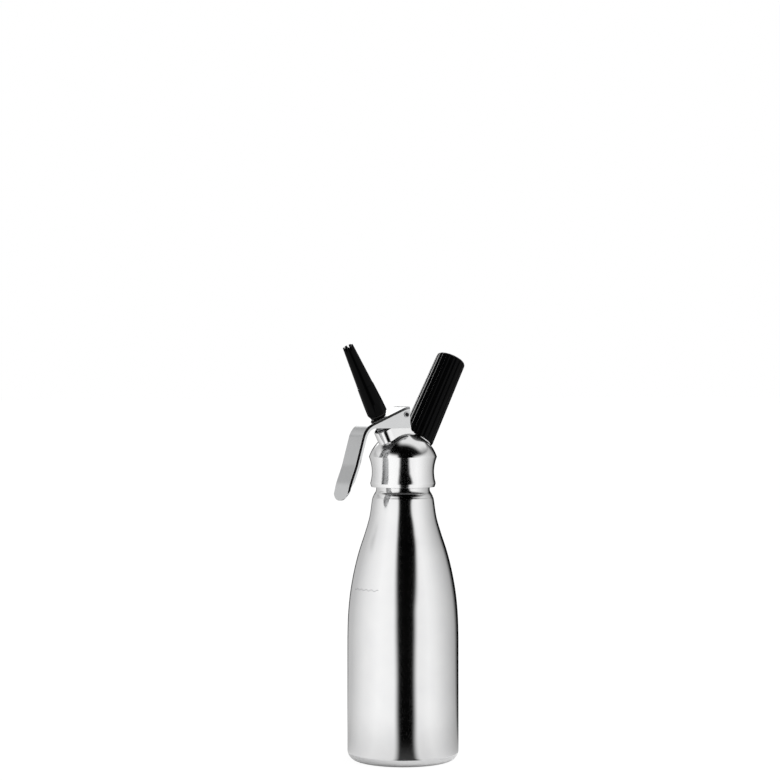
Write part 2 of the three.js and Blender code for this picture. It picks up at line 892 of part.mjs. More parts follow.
function springCollar() {
  return ring(
    stemRadius + seatGap,
    springCollarRadius,
    springCollarFoot,
    springCollarTop,
    smallFacets,
  );
}

function nozzleAdapter() {
  const bore = stemRadius + seatGap;
  const shank = bore + adapterShankWall;
  const studTop = nozzleFoot + adapterStudLength;
  return turned([
    [bore, adapterFoot],
    [shank, adapterFoot],
    [shank, adapterDiscFoot],
    [adapterDiscRadius, adapterDiscFoot],
    [adapterDiscRadius, adapterDiscTop],
    [adapterStudRadius, adapterDiscTop],
    [adapterStudRadius, studTop - bossChamfer],
    [adapterStudRadius - bossChamfer, studTop],
    [stemBoreRadius, studTop],
    [stemBoreRadius, adapterDiscTop],
    [bore, adapterDiscTop],
    [bore, adapterFoot],
  ], smallFacets);
}

function nozzleWasher() {
  const low = adapterDiscTop + seatGap;
  return ring(
    nozzleSocketRadius,
    nozzleWasherRadius,
    low,
    low + nozzleWasherThickness,
    smallFacets,
  );
}

// Decorating nozzle: a tapered tube with grip flats at its foot and a crown of teeth at its tip

function nozzleTube() {
  const shoulder = nozzleFoot + nozzleShoulderRise;
  const socketTop = nozzleFoot + adapterStudLength + nozzleSocketSpare;
  const bore = nozzleSocketRadius + seatGap;
  const shoulderRadius = bore + nozzleWall;
  const innerTip = nozzleTipRadius - nozzleTipWall;
  const notchFoot = nozzleTip - nozzleToothDepth;
  const round = arc(
    nozzleFootRadius - nozzleFootRound,
    nozzleFoot + nozzleFootRound,
    nozzleFootRound,
    -90,
    0,
    2,
  );
  return turned([
    [nozzleSocketRadius, nozzleFoot],
    ...round,
    [shoulderRadius + nozzleShoulderStep, shoulder - nozzleShoulderStep],
    [shoulderRadius, shoulder],
    [nozzleTipRadius, notchFoot],
    [nozzleTipRadius - nozzleShoulderStep, nozzleTip],
    [innerTip - nozzleShoulderStep, nozzleTip],
    [innerTip, notchFoot],
    [bore, socketTop + nozzleFootRound],
    [bore, socketTop],
    [nozzleSocketRadius, socketTop - seatGap],
    [nozzleSocketRadius, nozzleFoot],
  ], mediumFacets);
}

function nozzleNotch(turn) {
  const notch = new THREE.Shape();
  const half = nozzleToothGap / 2;
  const side = half / nozzleToothDepth;
  notch.moveTo(0, -nozzleToothDepth);
  notch.lineTo(half + side * cutOverrun, cutOverrun);
  notch.lineTo(-half - side * cutOverrun, cutOverrun);
  const geometry = new THREE.ExtrudeGeometry(notch, {
    depth: nozzleFootRadius,
    bevelEnabled: false,
  });
  geometry.rotateX(Math.PI / 2);
  geometry.rotateZ(turn + Math.PI / 2);
  geometry.translate(0, 0, nozzleTip);
  return geometry;
}

function nozzleFlat(turn) {
  const geometry = new THREE.BoxGeometry(
    nozzleFootRadius,
    2 * nozzleFootRadius,
    nozzleFlatHeight + cutOverrun,
  );
  geometry.translate(
    nozzleFootRadius - nozzleFlatCut + nozzleFootRadius / 2,
    0,
    nozzleFoot + (nozzleFlatHeight - cutOverrun) / 2,
  );
  geometry.rotateZ(turn);
  return geometry;
}

function decoratorNozzle() {
  let nozzle = solid(nozzleTube());
  const toothStep = (Math.PI * 2) / nozzleTeeth;
  for (let i = 0; i < nozzleTeeth; i += 1) {
    nozzle = nozzle.subtract(solid(nozzleNotch(rad(nozzleToothTurn) + i * toothStep)));
  }
  const flatStep = (Math.PI * 2) / nozzleFlats;
  for (let i = 0; i < nozzleFlats; i += 1) {
    nozzle = nozzle.subtract(solid(nozzleFlat(flatStep / 2 + i * flatStep)));
  }
  return shape(nozzle);
}

// Inlet pieces, each placed along the other leaning axis

function inletValveBody() {
  return turned([
    [gasBoreRadius, inletTailEnd],
    [inletTailRadius, inletTailEnd],
    [inletTailRadius, inletBodyFoot],
    [inletBodyRadius, inletBodyFoot],
    [inletBodyRadius, inletBodyTop],
    [gasBoreRadius, inletBodyTop],
    [gasBoreRadius, inletTailEnd],
  ], smallFacets);
}

function inletNut() {
  const top = inletNutFoot + inletNutHeight;
  const nut = hexagon(inletNutFlats, inletNutFoot, top);
  const bore = bar(
    inletTailRadius + seatGap,
    inletNutFoot - cutOverrun,
    top + cutOverrun,
    smallFacets,
  );
  return shape(solid(nut).subtract(solid(bore)));
}

function checkSleeve() {
  const inner = inletTailRadius + seatGap;
  const outer = inner + sleeveWall;
  const floor = inletTailEnd - seatGap;
  const top = inletNutFoot - seatGap;
  return turned([
    [0, floor - sleeveWall],
    [outer, floor - sleeveWall],
    [outer, top],
    [inner, top],
    [inner, floor],
    [0, floor],
  ], smallFacets);
}

function piercingPin() {
  const top = pinFlangeFoot + pinFlangeThickness;
  return turned([
    [spikeBoreRadius, pinFlangeFoot],
    [pinFlangeRadius, pinFlangeFoot],
    [pinFlangeRadius, top],
    [spikeRadius, top],
    [spikeRadius, top + spikeLength / 2],
    [spikeBoreRadius + spikeTipWall, top + spikeLength],
    [spikeBoreRadius, top + spikeLength],
    [spikeBoreRadius, pinFlangeFoot],
  ], smallFacets);
}

function neckSeal() {
  const inner = pinFlangeRadius + seatGap;
  return ring(
    inner,
    inner + neckSealWall,
    pinFlangeFoot,
    pinFlangeFoot + neckSealThickness,
    smallFacets,
  );
}

// Gas charger: a drawn steel bulb, hollow, with the pierced hole in its neck
function gasCharger() {
  const neckTop = chargerFoot + chargerNeckLength;
  const shoulderTop = neckTop + chargerShoulderLength;
  const end = chargerFoot + chargerLength;
  const shoulder = (inset) => new THREE.CubicBezierCurve(
    new THREE.Vector2(chargerNeckRadius - inset, neckTop + inset / 2),
    new THREE.Vector2(chargerNeckRadius - inset, neckTop + chargerShoulderLength / 2 + inset / 2),
    new THREE.Vector2(chargerRadius - inset, neckTop + chargerShoulderLength / 2 + inset / 2),
    new THREE.Vector2(chargerRadius - inset, shoulderTop + inset / 2),
  ).getPoints(3).map((point) => [point.x, point.y]);
  const bowl = (inset) => arc(0, end - chargerRadius, chargerRadius - inset, 0, 90, 4).slice(0, -1);
  return turned([
    [chargerPierceRadius, chargerFoot],
    [chargerNeckRadius, chargerFoot],
    ...shoulder(0),
    ...bowl(0),
    [0, end],
    [0, end - chargerWall],
    ...bowl(chargerWall).reverse(),
    ...shoulder(chargerWall).reverse(),
    [chargerPierceRadius, neckTop],
    [chargerPierceRadius, chargerFoot],
  ], smallFacets);
}

// Charger holder: a ribbed plastic cap whose ribs fade out over its rounded end

function holderOutside() {
  const flank = (height) => THREE.MathUtils.mapLinear(
    height,
    holderFoot,
    holderTop,
    holderFootRadius,
    holderFootRadius - holderTaper,
  );
  const roundStart = holderTop - holderCrown - holderEndRound;
  const footDepthShare = 0.5;
  const rings = [
    [flank(holderFoot) - holderFootRound, holderFoot, 0],
    [flank(holderFoot), holderFoot + holderFootRound, footDepthShare],
    [flank(holderFoot), holderFoot + holderRibStart, 1],
    [flank(roundStart), roundStart, 1],
  ];
  const roundSteps = 4;
  for (let i = 1; i <= roundSteps; i += 1) {
    const angle = (i / roundSteps) * Math.PI / 2;
    rings.push([
      flank(roundStart) - holderEndRound * (1 - Math.cos(angle)),
      roundStart + holderEndRound * Math.sin(angle),
      1 - i / roundSteps,
    ]);
  }
  const pointsPerRib = 4;
  const around = holderRibs * pointsPerRib;
  const positions = [];
  const index = [];
  const grooveShares = [0, 0.12, 1, 0.12];
  rings.forEach(([radius, height, depthShare]) => {
    for (let k = 0; k < around; k += 1) {
      const angle = (k / around) * Math.PI * 2;
      const groove = grooveShares[k % pointsPerRib] * holderRibDepth * depthShare;
      positions.push((radius - groove) * Math.cos(angle), (radius - groove) * Math.sin(angle), height);
    }
  });
  for (let i = 0; i < rings.length - 1; i += 1) {
    for (let k = 0; k < around; k += 1) {
      const a = i * around + k;
      const b = i * around + ((k + 1) % around);
      index.push(a, b, b + around, a, b + around, a + around);
    }
  }
  const lastRing = (rings.length - 1) * around;
  const footCentre = rings.length * around;
  positions.push(0, 0, holderFoot, 0, 0, holderTop);
  for (let k = 0; k < around; k += 1) {
    const next = (k + 1) % around;
    index.push(footCentre, next, k);
    index.push(footCentre + 1, lastRing + k, lastRing + next);
  }
  const geometry = new THREE.BufferGeometry();
  geometry.setAttribute('position', new THREE.Float32BufferAttribute(positions, 3));
  geometry.setIndex(index);
  return geometry;
}

function holderCavity() {
  const bore = chargerRadius + 2 * seatGap;
  return turned([
    [0, holderFoot - cutOverrun],
    [linerSeatRadius, holderFoot - cutOverrun],
    [linerSeatRadius, inletStubTop],
    [bore, inletStubTop + linerThickness],
    [bore, holderInnerEnd],
    [0, holderInnerEnd],
  ], mediumFacets);
}

function chargerHolder() {
  return shape(solid(holderOutside()).subtract(solid(holderCavity())));
}

function holderLiner() {
  return ring(
    inletStubRadius + seatGap,
    linerRadius,
    holderFoot + seatGap,
    inletStubTop - seatGap,
    mediumFacets,
  );
}

function holderPad() {
  const top = holderInnerEnd - seatGap;
  return bar(chargerRadius - seatGap, top - padThickness, top, smallFacets);
}

// Finishes seen in the photo and usual inside such a head
const brushedSteel = finish(0xc9cbcc, 0.32, 1);
const polishedSteel = finish(0xd4d6d8, 0.12, 1);
const satinSteel = finish(0xb9bcbf, 0.35, 1);
const blackPlastic = finish(0x0e0e0f, 0.38, 0);
const whitePlastic = finish(0xe4e4de, 0.5, 0);
const blackRubber = finish(0x151515, 0.75, 0);
const redSilicone = finish(0x9c2a24, 0.6, 0);
const brass = finish(0xc5a253, 0.3, 1);

// Assembly: each group carries the frame of what its pieces are fixed to
const head = new THREE.Group();
head.position.z = seatHeight;
head.add(
  piece('head_gasket', headGasket(), redSilicone),
  piece('head_casting', headCasting(), polishedSteel),
);

const pivotGroup = new THREE.Group();
pivotGroup.position.set(pivot.x, 0, pivot.y);
pivotGroup.add(
  piece('lever_pin', leverPin(), satinSteel),
  piece('lever', lever(), satinSteel),
);

const valveAxis = new THREE.Group();
valveAxis.position.z = -axisDrop;
valveAxis.rotation.y = -rad(axisLean);
valveAxis.add(
  piece('valve_guide_bush', guideBush(), whitePlastic),
  piece('guide_o_ring', guideRing(), blackRubber),
  piece('spring_seat', springSeat(), satinSteel),
  piece('valve_spring', valveSpring(), satinSteel),
  piece('valve_stem', valveStem(), satinSteel),
  piece('stem_seal', stemSeal(), redSilicone),
  piece('stem_nut', stemNut(), satinSteel),
  piece('spring_collar', springCollar(), satinSteel),
  piece('nozzle_adapter', nozzleAdapter(), blackPlastic),
  piece('nozzle_washer', nozzleWasher(), blackRubber),
  piece('decorator_nozzle', decoratorNozzle(), blackPlastic),
);

const inletAxis = new THREE.Group();
inletAxis.position.z = -axisDrop;
inletAxis.rotation.y = rad(axisLean);
inletAxis.add(
  piece('inlet_valve_body', inletValveBody(), brass),
  piece('inlet_nut', inletNut(), brass),
  piece('check_valve_sleeve', checkSleeve(), redSilicone),
  piece('piercing_pin', piercingPin(), satinSteel),
  piece('neck_seal', neckSeal(), blackRubber),
  piece('gas_charger', gasCharger(), satinSteel),
  piece('holder_thread_liner', holderLiner(), satinSteel),
  piece('holder_end_pad', holderPad(), blackRubber),
  piece('charger_holder', chargerHolder(), blackPlastic),
);

head.add(pivotGroup, valveAxis, inletAxis);

const whipper = new THREE.Group();
whipper.add(piece('bottle_shell', bottleShell(), brushedSteel), head);

console.log(`Least gap between spring coils: ${springSelfGap().toFixed(2)} mm`);

export default whipper;
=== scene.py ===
import math

import bmesh
import bpy
from mathutils import Matrix, Vector


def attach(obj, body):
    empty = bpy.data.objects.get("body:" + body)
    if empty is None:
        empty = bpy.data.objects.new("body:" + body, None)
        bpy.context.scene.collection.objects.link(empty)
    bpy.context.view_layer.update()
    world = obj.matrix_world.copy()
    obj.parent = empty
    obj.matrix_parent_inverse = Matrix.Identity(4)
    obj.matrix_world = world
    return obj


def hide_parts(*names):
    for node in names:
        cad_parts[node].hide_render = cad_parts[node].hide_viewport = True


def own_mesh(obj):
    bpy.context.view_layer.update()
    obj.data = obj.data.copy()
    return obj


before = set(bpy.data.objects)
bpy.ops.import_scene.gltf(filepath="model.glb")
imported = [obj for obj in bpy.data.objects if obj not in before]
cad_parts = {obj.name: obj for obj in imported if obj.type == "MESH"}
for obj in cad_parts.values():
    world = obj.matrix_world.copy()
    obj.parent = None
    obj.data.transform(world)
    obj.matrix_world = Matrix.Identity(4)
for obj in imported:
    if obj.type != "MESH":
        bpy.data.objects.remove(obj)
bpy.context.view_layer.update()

# Bottle. One cup of stainless steel, drawn and then spun in over the shoulder to a short neck
# with a rolled rim. The outside is brushed round its axis to a fine satin, and the head screws
# down over the neck. Sizes are in millimetres as far as the floor, and angles in degrees.
MM = 0.001
bottle_radius = 47.5
bottle_wall = 1.2
bottle_height = 252.0
base_corner = 8.5
straight_height = 104.0
neck_root_height = 221.7
neck_step_rise = 8.5
neck_root_radius = 26.5
neck_radius = 22.9
neck_blend = 1.0
thread_radius = 23.7
thread_foot = 235.0
thread_ramp = 0.8
thread_round = 0.3
mouth_radius = 21.3
mouth_round = 0.4
rim_round = 0.8
bottle_segments = 192
sharp_edge = 32.0
# Height up the shoulder, and how far the side still stands out from the neck
shoulder_shares = [
    (0, 1), (0.155, 0.977), (0.31, 0.902), (0.466, 0.756),
    (0.62, 0.546), (0.77, 0.273), (0.88, 0.1), (1, 0),
]
# The same for the step that leads from the shoulder into the neck
neck_step_shares = [(0.3, 0.8), (0.6, 0.5), (0.82, 0.17), (1, 0)]


def arc(centre_x, centre_z, radius, start, end, steps):
    """Points on an arc in the plane of a profile, its angles in degrees."""
    points = []
    for i in range(steps + 1):
        angle = math.radians(start + (end - start) * i / steps)
        points.append((centre_x + radius * math.cos(angle), centre_z + radius * math.sin(angle)))
    return points


def curve(start, pull, end, steps):
    """Points from start to end on a quadratic curve that bends towards pull."""
    points = []
    for k in range(steps + 1):
        t = k / steps
        points.append(tuple(
            a * (1 - t) ** 2 + b * 2 * t * (1 - t) + c * t ** 2 for a, b, c in zip(start, pull, end)
        ))
    return points


def rounded(outline, closed=False, steps=4):
    """Gives each corner (x, z, radius) of an outline its round, and keeps points without one."""
    points = []
    for i, corner in enumerate(outline):
        end = not closed and i in (0, len(outline) - 1)
        if end or len(corner) == 2:
            points.append(tuple(corner[:2]))
            continue
        here = Vector(corner[:2])
        before = Vector(outline[i - 1][:2]) - here
        after = Vector(outline[(i + 1) % len(outline)][:2]) - here
        back = corner[2] / math.tan(before.angle(after) / 2)
        # A curve that bends towards the corner is close to an arc at this size
        points += curve(here + before.normalized() * back, here, here + after.normalized() * back, steps)
    return points


def through(points, steps):
    """A smooth line through the points, with steps between each two."""
    guard = [points[0], *points, points[-1]]
    line = []
    for a, b, c, d in zip(guard, guard[1:], guard[2:], guard[3:]):
        a, b, c, d = (Vector(p) for p in (a, b, c, d))
        for k in range(steps):
            t = k / steps
            point = (b * 2 + (c - a) * t + (a * 2 - b * 5 + c * 4 - d) * t ** 2
                     + (b * 3 - a - c * 3 + d) * t ** 3) / 2
            line.append((point.x, point.y))
    line.append(tuple(points[-1]))
    return line


def placed(name, data):
    """Puts a mesh, a lamp or a camera into the scene as an object."""
    made = bpy.data.objects.new(name, data)
    bpy.context.scene.collection.objects.link(made)
    return made


def mesh_piece(name, vertices, faces, place=Matrix.Identity(4), sharp=sharp_edge):
    """Makes a smooth object from points in millimetres, with its edges over sharp degrees kept."""
    mesh = bpy.data.meshes.new(name)
    mesh.from_pydata([place @ Vector(v) * MM for v in vertices], [], faces)
    shell = bmesh.new()
    shell.from_mesh(mesh)
    bmesh.ops.recalc_face_normals(shell, faces=shell.faces)
    shell.to_mesh(mesh)
    shell.free()
    mesh.shade_smooth()
    mesh.set_sharp_from_angle(angle=math.radians(sharp))
    return placed(name, mesh)


def ring(count, at):
    """Points round the axis, where at gives the radius and the height for each turn."""
    points = []
    for k in range(count):
        turn = 2 * math.pi * k / count
        radius, height = at(turn)
        points.append((radius * math.cos(turn), radius * math.sin(turn), height))
    return points


def band(low, high, count):
    """Faces between two rings, each given by the number of its first point."""
    return [[low + k, low + (k + 1) % count, high + (k + 1) % count, high + k] for k in range(count)]


def turned(name, outline, segments, closed=False, place=Matrix.Identity(4)):
    """Turns an outline of (radius, height) about its axis, as a lathe does."""
    vertices, rings, faces = [], [], []
    for radius, height in outline:
        points = ring(segments, lambda turn: (radius, height)) if radius > 0 else [(0, 0, height)]
        rings.append(range(len(vertices), len(vertices) + len(points)))
        vertices += points
    pairs = list(zip(rings, rings[1:]))
    if closed:
        pairs.append((rings[-1], rings[0]))
    for low, high in pairs:
        for k in range(segments):
            corners = [low[k % len(low)], low[(k + 1) % len(low)],
                       high[(k + 1) % len(high)], high[k % len(high)]]
            face = list(dict.fromkeys(corners))
            if len(face) > 2:
                faces.append(face)
    return mesh_piece(name, vertices, faces, place)


def bottle_side(wall):
    """Outline of the shoulder and the step into the neck, drawn in by the wall."""
    outer = bottle_radius - wall
    root = neck_root_radius - wall
    neck = neck_radius - wall
    rise = neck_root_height - straight_height
    stations = [(root + (outer - root) * out, straight_height + rise * up)
                for up, out in shoulder_shares]
    stations += [(neck + (root - neck) * out, neck_root_height + neck_step_rise * up)
                 for up, out in neck_step_shares]
    return through(stations, 8)


inner_corner = base_corner - bottle_wall
bottle_outline = [
    (0, 0),
    *arc(bottle_radius - base_corner, base_corner, base_corner, -90, 0, 14),
    *bottle_side(0),
    *rounded([
        (neck_radius, thread_foot - neck_blend),
        (neck_radius, thread_foot, thread_round),
        (thread_radius, thread_foot + thread_ramp, thread_round),
        (thread_radius, bottle_height, rim_round),
        (mouth_radius, bottle_height, rim_round),
        (mouth_radius, thread_foot, mouth_round),
        (neck_radius - bottle_wall, thread_foot - neck_blend),
    ]),
    *reversed(bottle_side(bottle_wall)),
    *arc(bottle_radius - base_corner, base_corner, inner_corner, 0, -90, 10),
    (0, bottle_wall),
]
bottle = turned("bottle", bottle_outline, bottle_segments)


def new_finish(name):
    """An empty material, with its tree and its shader."""
    material = bpy.data.materials.new(name)
    material.use_nodes = True
    tree = material.node_tree
    return material, tree, tree.nodes["Principled BSDF"]


def node(tree, kind, inputs=None, **settings):
    """Adds a node, sets its settings, and sets or links its inputs by name or number."""
    made = tree.nodes.new("ShaderNode" + kind)
    for key, value in settings.items():
        setattr(made, key, value)
    for key, value in (inputs or {}).items():
        socket = made.inputs[key]
        if isinstance(value, bpy.types.NodeSocket):
            tree.links.new(value, socket)
        else:
            socket.default_value = value
    return made


def grain(tree, stretch, scale, detail=4.0):
    """Noise in real sizes on the object: stretch sets how fine it runs along each axis."""
    place = node(tree, "TexCoord").outputs["Object"]
    stretched = node(tree, "Mapping", {"Vector": place, "Scale": stretch}).outputs[0]
    return node(tree, "TexNoise", {"Vector": stretched, "Scale": scale, "Detail": detail}).outputs[0]


def between(tree, value, low, high, source=(0.3, 0.7)):
    """Maps noise to a range."""
    return node(tree, "MapRange", {
        "Value": value, "From Min": source[0], "From Max": source[1], "To Min": low, "To Max": high,
    }).outputs[0]


def compute(tree, operation, *values):
    """One step of arithmetic in a node tree."""
    return node(tree, "Math", dict(enumerate(values)), operation=operation).outputs[0]


def product(tree, value, *others):
    """Multiplies two or more values in a node tree."""
    for other in others:
        value = compute(tree, "MULTIPLY", value, other)
    return value


def ease(tree, value, start, end):
    """Rises smoothly from 0 to 1 while value goes from start to end."""
    return node(tree, "MapRange", {"Value": value, "From Min": start, "From Max": end},
                interpolation_type="SMOOTHSTEP").outputs[0]


def blended(tree, factor, low, high):
    """A colour between low and high, each a colour or a socket."""
    made = node(tree, "Mix", {0: factor}, data_type="RGBA")
    # The colour sockets of a mix node follow its number sockets
    for socket, value in ((made.inputs[6], low), (made.inputs[7], high)):
        if isinstance(value, bpy.types.NodeSocket):
            tree.links.new(value, socket)
        else:
            socket.default_value = (*value, 1)
    return made.outputs[2]


relief_depth = 0.05
steel_cloud_scale = 60.0


def steel(name, colour, shade, rough, fine, stretch, relief, soft_edge):
    """Bare steel: cloudy colour, roughness that varies with the polishing marks, and their relief."""
    material, tree, shader = new_finish(name)
    clouds = between(tree, grain(tree, (1, 1, 1), steel_cloud_scale, 2.0), 0.0, 1.0)
    marks = grain(tree, stretch, fine, 5.0)
    tree.links.new(blended(tree, clouds, colour, shade), shader.inputs["Base Color"])
    tree.links.new(between(tree, marks, *rough), shader.inputs["Roughness"])
    shader.inputs["Metallic"].default_value = 1.0
    edge = node(tree, "Bevel", {"Radius": soft_edge * MM}, samples=4)
    bump = node(tree, "Bump", {
        "Strength": relief, "Distance": relief_depth * MM, "Height": marks, "Normal": edge.outputs[0],
    })
    tree.links.new(bump.outputs[0], shader.inputs["Normal"])
    return material


satin_bottle = steel(
    "satin_bottle", (0.80, 0.80, 0.80), (0.775, 0.775, 0.78), (0.10, 0.14),
    fine=900.0, stretch=(0.06, 0.06, 2.2), relief=0.06, soft_edge=0.3,
)
# The fill line is printed on the side below the lever, a faint wavy line
mark_height = 147.5
mark_wave = 0.65
mark_width = 0.4
mark_pitch = math.radians(7.6)
mark_peak = math.radians(1.7)
mark_start = math.radians(-12)
mark_end = math.radians(26)
mark_ink = (0.36, 0.36, 0.37)
tree = satin_bottle.node_tree
shader = tree.nodes["Principled BSDF"]
bare_steel = shader.inputs["Base Color"].links[0].from_socket
along, across, up = node(tree, "SeparateXYZ", {0: node(tree, "TexCoord").outputs["Object"]}).outputs
reverse_along = product(tree, along, -1.0)
reverse_across = product(tree, across, -1.0)
turn = compute(tree, "ARCTAN2", reverse_across, reverse_along)
phase = product(tree, compute(tree, "SUBTRACT", turn, mark_peak), 2 * math.pi / mark_pitch)
line_level = compute(tree, "MULTIPLY_ADD", compute(tree, "COSINE", phase), mark_wave * MM, mark_height * MM)
off_line = compute(tree, "ABSOLUTE", compute(tree, "SUBTRACT", up, line_level))
printed = product(
    tree, ease(tree, off_line, mark_width * MM, mark_width * MM / 4),
    compute(tree, "GREATER_THAN", turn, mark_start), compute(tree, "LESS_THAN", turn, mark_end),
)
tree.links.new(blended(tree, printed, bare_steel, mark_ink), shader.inputs["Base Color"])
bottle.data.materials.append(satin_bottle)
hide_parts("bottle_shell")
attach(bottle, "bottle")

# Head seal. A silicone ring that lies on the bottle's rim inside the collar of the head and is
# squeezed when the head is screwed down. It is moulded, with a satin skin.
seat_height = 254.6
seal_gap = 0.3
seal_thickness = 2.0
seal_round = 0.35
seal_top = seat_height - seal_gap
moulding_cloud_scale = 90.0
moulding_cloud_shade = 0.82


def flat_ring(name, bore, rim, low, high, rounds, segments=96, place=Matrix.Identity(4)):
    """A flat ring, with one round for the edges of its bore and one for those of its rim."""
    bore_round, edge_round = rounds
    return turned(name, rounded([
        (bore, low, bore_round), (rim, low, edge_round), (rim, high, edge_round), (bore, high, bore_round),
    ], closed=True), segments, closed=True, place=place)


head_seal = flat_ring(
    "head_seal", mouth_radius, thread_radius, seal_top - seal_thickness, seal_top,
    (seal_round, seal_round), segments=128,
)


def moulded(name, colour, rough, level, fine, relief):
    """A moulded skin: plain colour with a faint cloud, uneven gloss and a fine texture."""
    material, tree, shader = new_finish(name)
    clouds = between(tree, grain(tree, (1, 1, 1), moulding_cloud_scale, 2.0), 0.0, 1.0)
    skin = grain(tree, (1, 1, 1), fine, 3.0)
    shade = [part * moulding_cloud_shade for part in colour]
    tree.links.new(blended(tree, clouds, colour, shade), shader.inputs["Base Color"])
    tree.links.new(between(tree, skin, *rough), shader.inputs["Roughness"])
    shader.inputs["Specular IOR Level"].default_value = level
    bump = node(tree, "Bump", {"Strength": relief, "Distance": relief_depth * MM, "Height": skin})
    tree.links.new(bump.outputs[0], shader.inputs["Normal"])
    return material


red_silicone = moulded("red_silicone", (0.42, 0.05, 0.035), (0.45, 0.6), 0.4, 900.0, 0.1)
head_seal.data.materials.append(red_silicone)
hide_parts("head_gasket")
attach(head_seal, "head_seal")

# Head. An investment casting in stainless steel, turned and polished bright: a threaded collar,
# a sharp rim and a dome, with the bored valve boss, the lever lug and the gas stub cast on.
collar_depth = 21.6
collar_foot_radius = 28.0
collar_foot_height = 3.4
collar_bevel = 0.95
collar_bevel_height = 3.0
collar_lip_round = 0.4
collar_foot_round = 0.3
collar_bevel_round = 0.25
thread_start = 4.0
waist_radius = 26.6
rim_rise = 4.1
dome_radius = 30.5
dome_drop = 5.0
vault_radius = 26.0
socket_radius = 24.0
axis_drop = 8.1
axis_lean = 28.5
boss_radius = 9.4
boss_foot = 23.0
boss_top = 42.0
boss_round = 0.6
spring_pocket_radius = 7.6
spring_pocket_floor = 36.0
spring_pocket_chamfer = 0.4
bush_bore_radius = 6.5
flow_bore_radius = 5.0
flow_bore_top = 27.5
stub_radius = 10.5
stub_top = 48.0
stub_round = 0.5
stub_foot = 24.0
stub_foot_radius = 8.0
stub_mouth = 5.9
stub_chamfer = 1.2
stub_spot_radius = 13.0
stub_spot_top = 31.1
stub_spot_round = 0.3
gas_bore_radius = 2.9
gas_bore_top = 29.2
inlet_bore_radius = 5.3
inlet_bore_top = 38.0
holder_room_radius = 14.9
pivot_x = -4.3
pivot_rise = 40.4
pin_radius = 2.0
eye_radius = 3.88
eye_wrap = 153
lug_half_width = 9.38
lug_rear = 6.0
lug_flare = 4.6
lug_root = 20.5
lug_set_back = 0.5
flange_drop = 11.6
head_segments = 192
overrun = 1.0
surface_margin = 0.1
underside_share = 0.9

head_place = Matrix.Translation((0, 0, seat_height))
axes_root = Matrix.Translation((0, 0, seat_height - axis_drop))
valve_place = axes_root @ Matrix.Rotation(-math.radians(axis_lean), 4, "Y")
inlet_place = axes_root @ Matrix.Rotation(math.radians(axis_lean), 4, "Y")
pivot_place = Matrix.Translation((pivot_x, 0, seat_height + pivot_rise))
pin_place = pivot_place @ Matrix.Rotation(math.radians(90), 4, "X")


def extruded(name, outline, low, high, place):
    """A plate with its outline in X and Z, that reaches from low to high in Y."""
    count = len(outline)
    vertices = [(x, low, z) for x, z in outline] + [(x, high, z) for x, z in outline]
    faces = [list(range(count)), list(range(2 * count - 1, count - 1, -1))]
    return mesh_piece(name, vertices, faces + band(0, count, count), place)


def combine(base, *steps):
    """Joins, cuts or trims base with the other objects in turn, which are used up."""
    for operation, other in steps:
        step = base.modifiers.new(operation, "BOOLEAN")
        step.operation = operation
        step.object = other
        step.solver = "EXACT"
    bpy.context.view_layer.update()
    shaped = base.evaluated_get(bpy.context.evaluated_depsgraph_get())
    mesh = bpy.data.meshes.new_from_object(shaped)
    base.modifiers.clear()
    base.data = mesh
    for _, other in steps:
        bpy.data.objects.remove(other)
    mesh.shade_smooth()
    mesh.set_sharp_from_angle(angle=math.radians(sharp_edge))
    return base


def drill(name, radius, reach, place):
    """A plain cylinder round its own axis that reaches as far to both sides."""
    return turned(name, [(0, -reach), (radius, -reach), (radius, reach), (0, reach)], 48, place=place)


rim_angle = math.degrees(math.asin((rim_rise + dome_drop) / dome_radius))
rim_radius = dome_radius * math.cos(math.radians(rim_angle))
foot_top = -collar_depth + collar_foot_height
waist_pull = 2 * waist_radius - (collar_foot_radius + rim_radius) / 2
waist = curve(
    (collar_foot_radius, foot_top), (waist_pull, (foot_top + rim_rise) / 2), (rim_radius, rim_rise), 24,
)
springing = math.degrees(math.acos(mouth_radius / vault_radius))
head_outline = [
    *rounded([
        (socket_radius, -thread_start),
        (socket_radius, -collar_depth, collar_lip_round),
        (collar_foot_radius - collar_bevel, -collar_depth, collar_foot_round),
        (collar_foot_radius, -collar_depth + collar_bevel_height, collar_bevel_round),
        waist[1],
    ], steps=6),
    *waist[2:],
    *arc(0, -dome_drop, dome_radius, rim_angle, 90, 60)[1:-1],
    (0, dome_radius - dome_drop),
    (0, vault_radius - dome_drop),
    *arc(0, -dome_drop, vault_radius, 90, springing, 16)[1:-1],
    (mouth_radius, 0),
    (socket_radius, 0),
]
head = turned("head", head_outline, head_segments, closed=True, place=head_place)

boss_axis = Vector((-pivot_x, -axis_drop - pivot_rise))
lean = Vector((-math.sin(math.radians(axis_lean)), math.cos(math.radians(axis_lean))))
lug_end = boss_axis + lean * boss_top + Vector((lean.y, -lean.x)) * (boss_radius - lug_set_back)
lug_crest = boss_axis + lean * (boss_top - seal_gap)
lug_core = boss_axis + lean * flow_bore_top
dome_level = dome_radius - dome_drop - pivot_rise
lug_foot = lug_rear + lug_flare
lug = extruded("lug", [
    *arc(0, 0, eye_radius, 0, eye_wrap, 24),
    tuple(lug_end), tuple(lug_crest), tuple(lug_core), (lug_foot, -lug_root),
    *curve((lug_foot, dome_level - seal_gap), (lug_rear, dome_level), (lug_rear, -flange_drop), 12),
], -lug_half_width, lug_half_width, pivot_place)
holder_room = turned("holder_room", [
    (0, stub_spot_top), (holder_room_radius, stub_spot_top), (holder_room_radius, stub_top), (0, stub_top),
], 96, place=inlet_place)
boss = turned("boss", rounded([
    (0, boss_foot), (boss_radius, boss_foot), (boss_radius, boss_top, boss_round), (0, boss_top),
]), 128, place=valve_place)
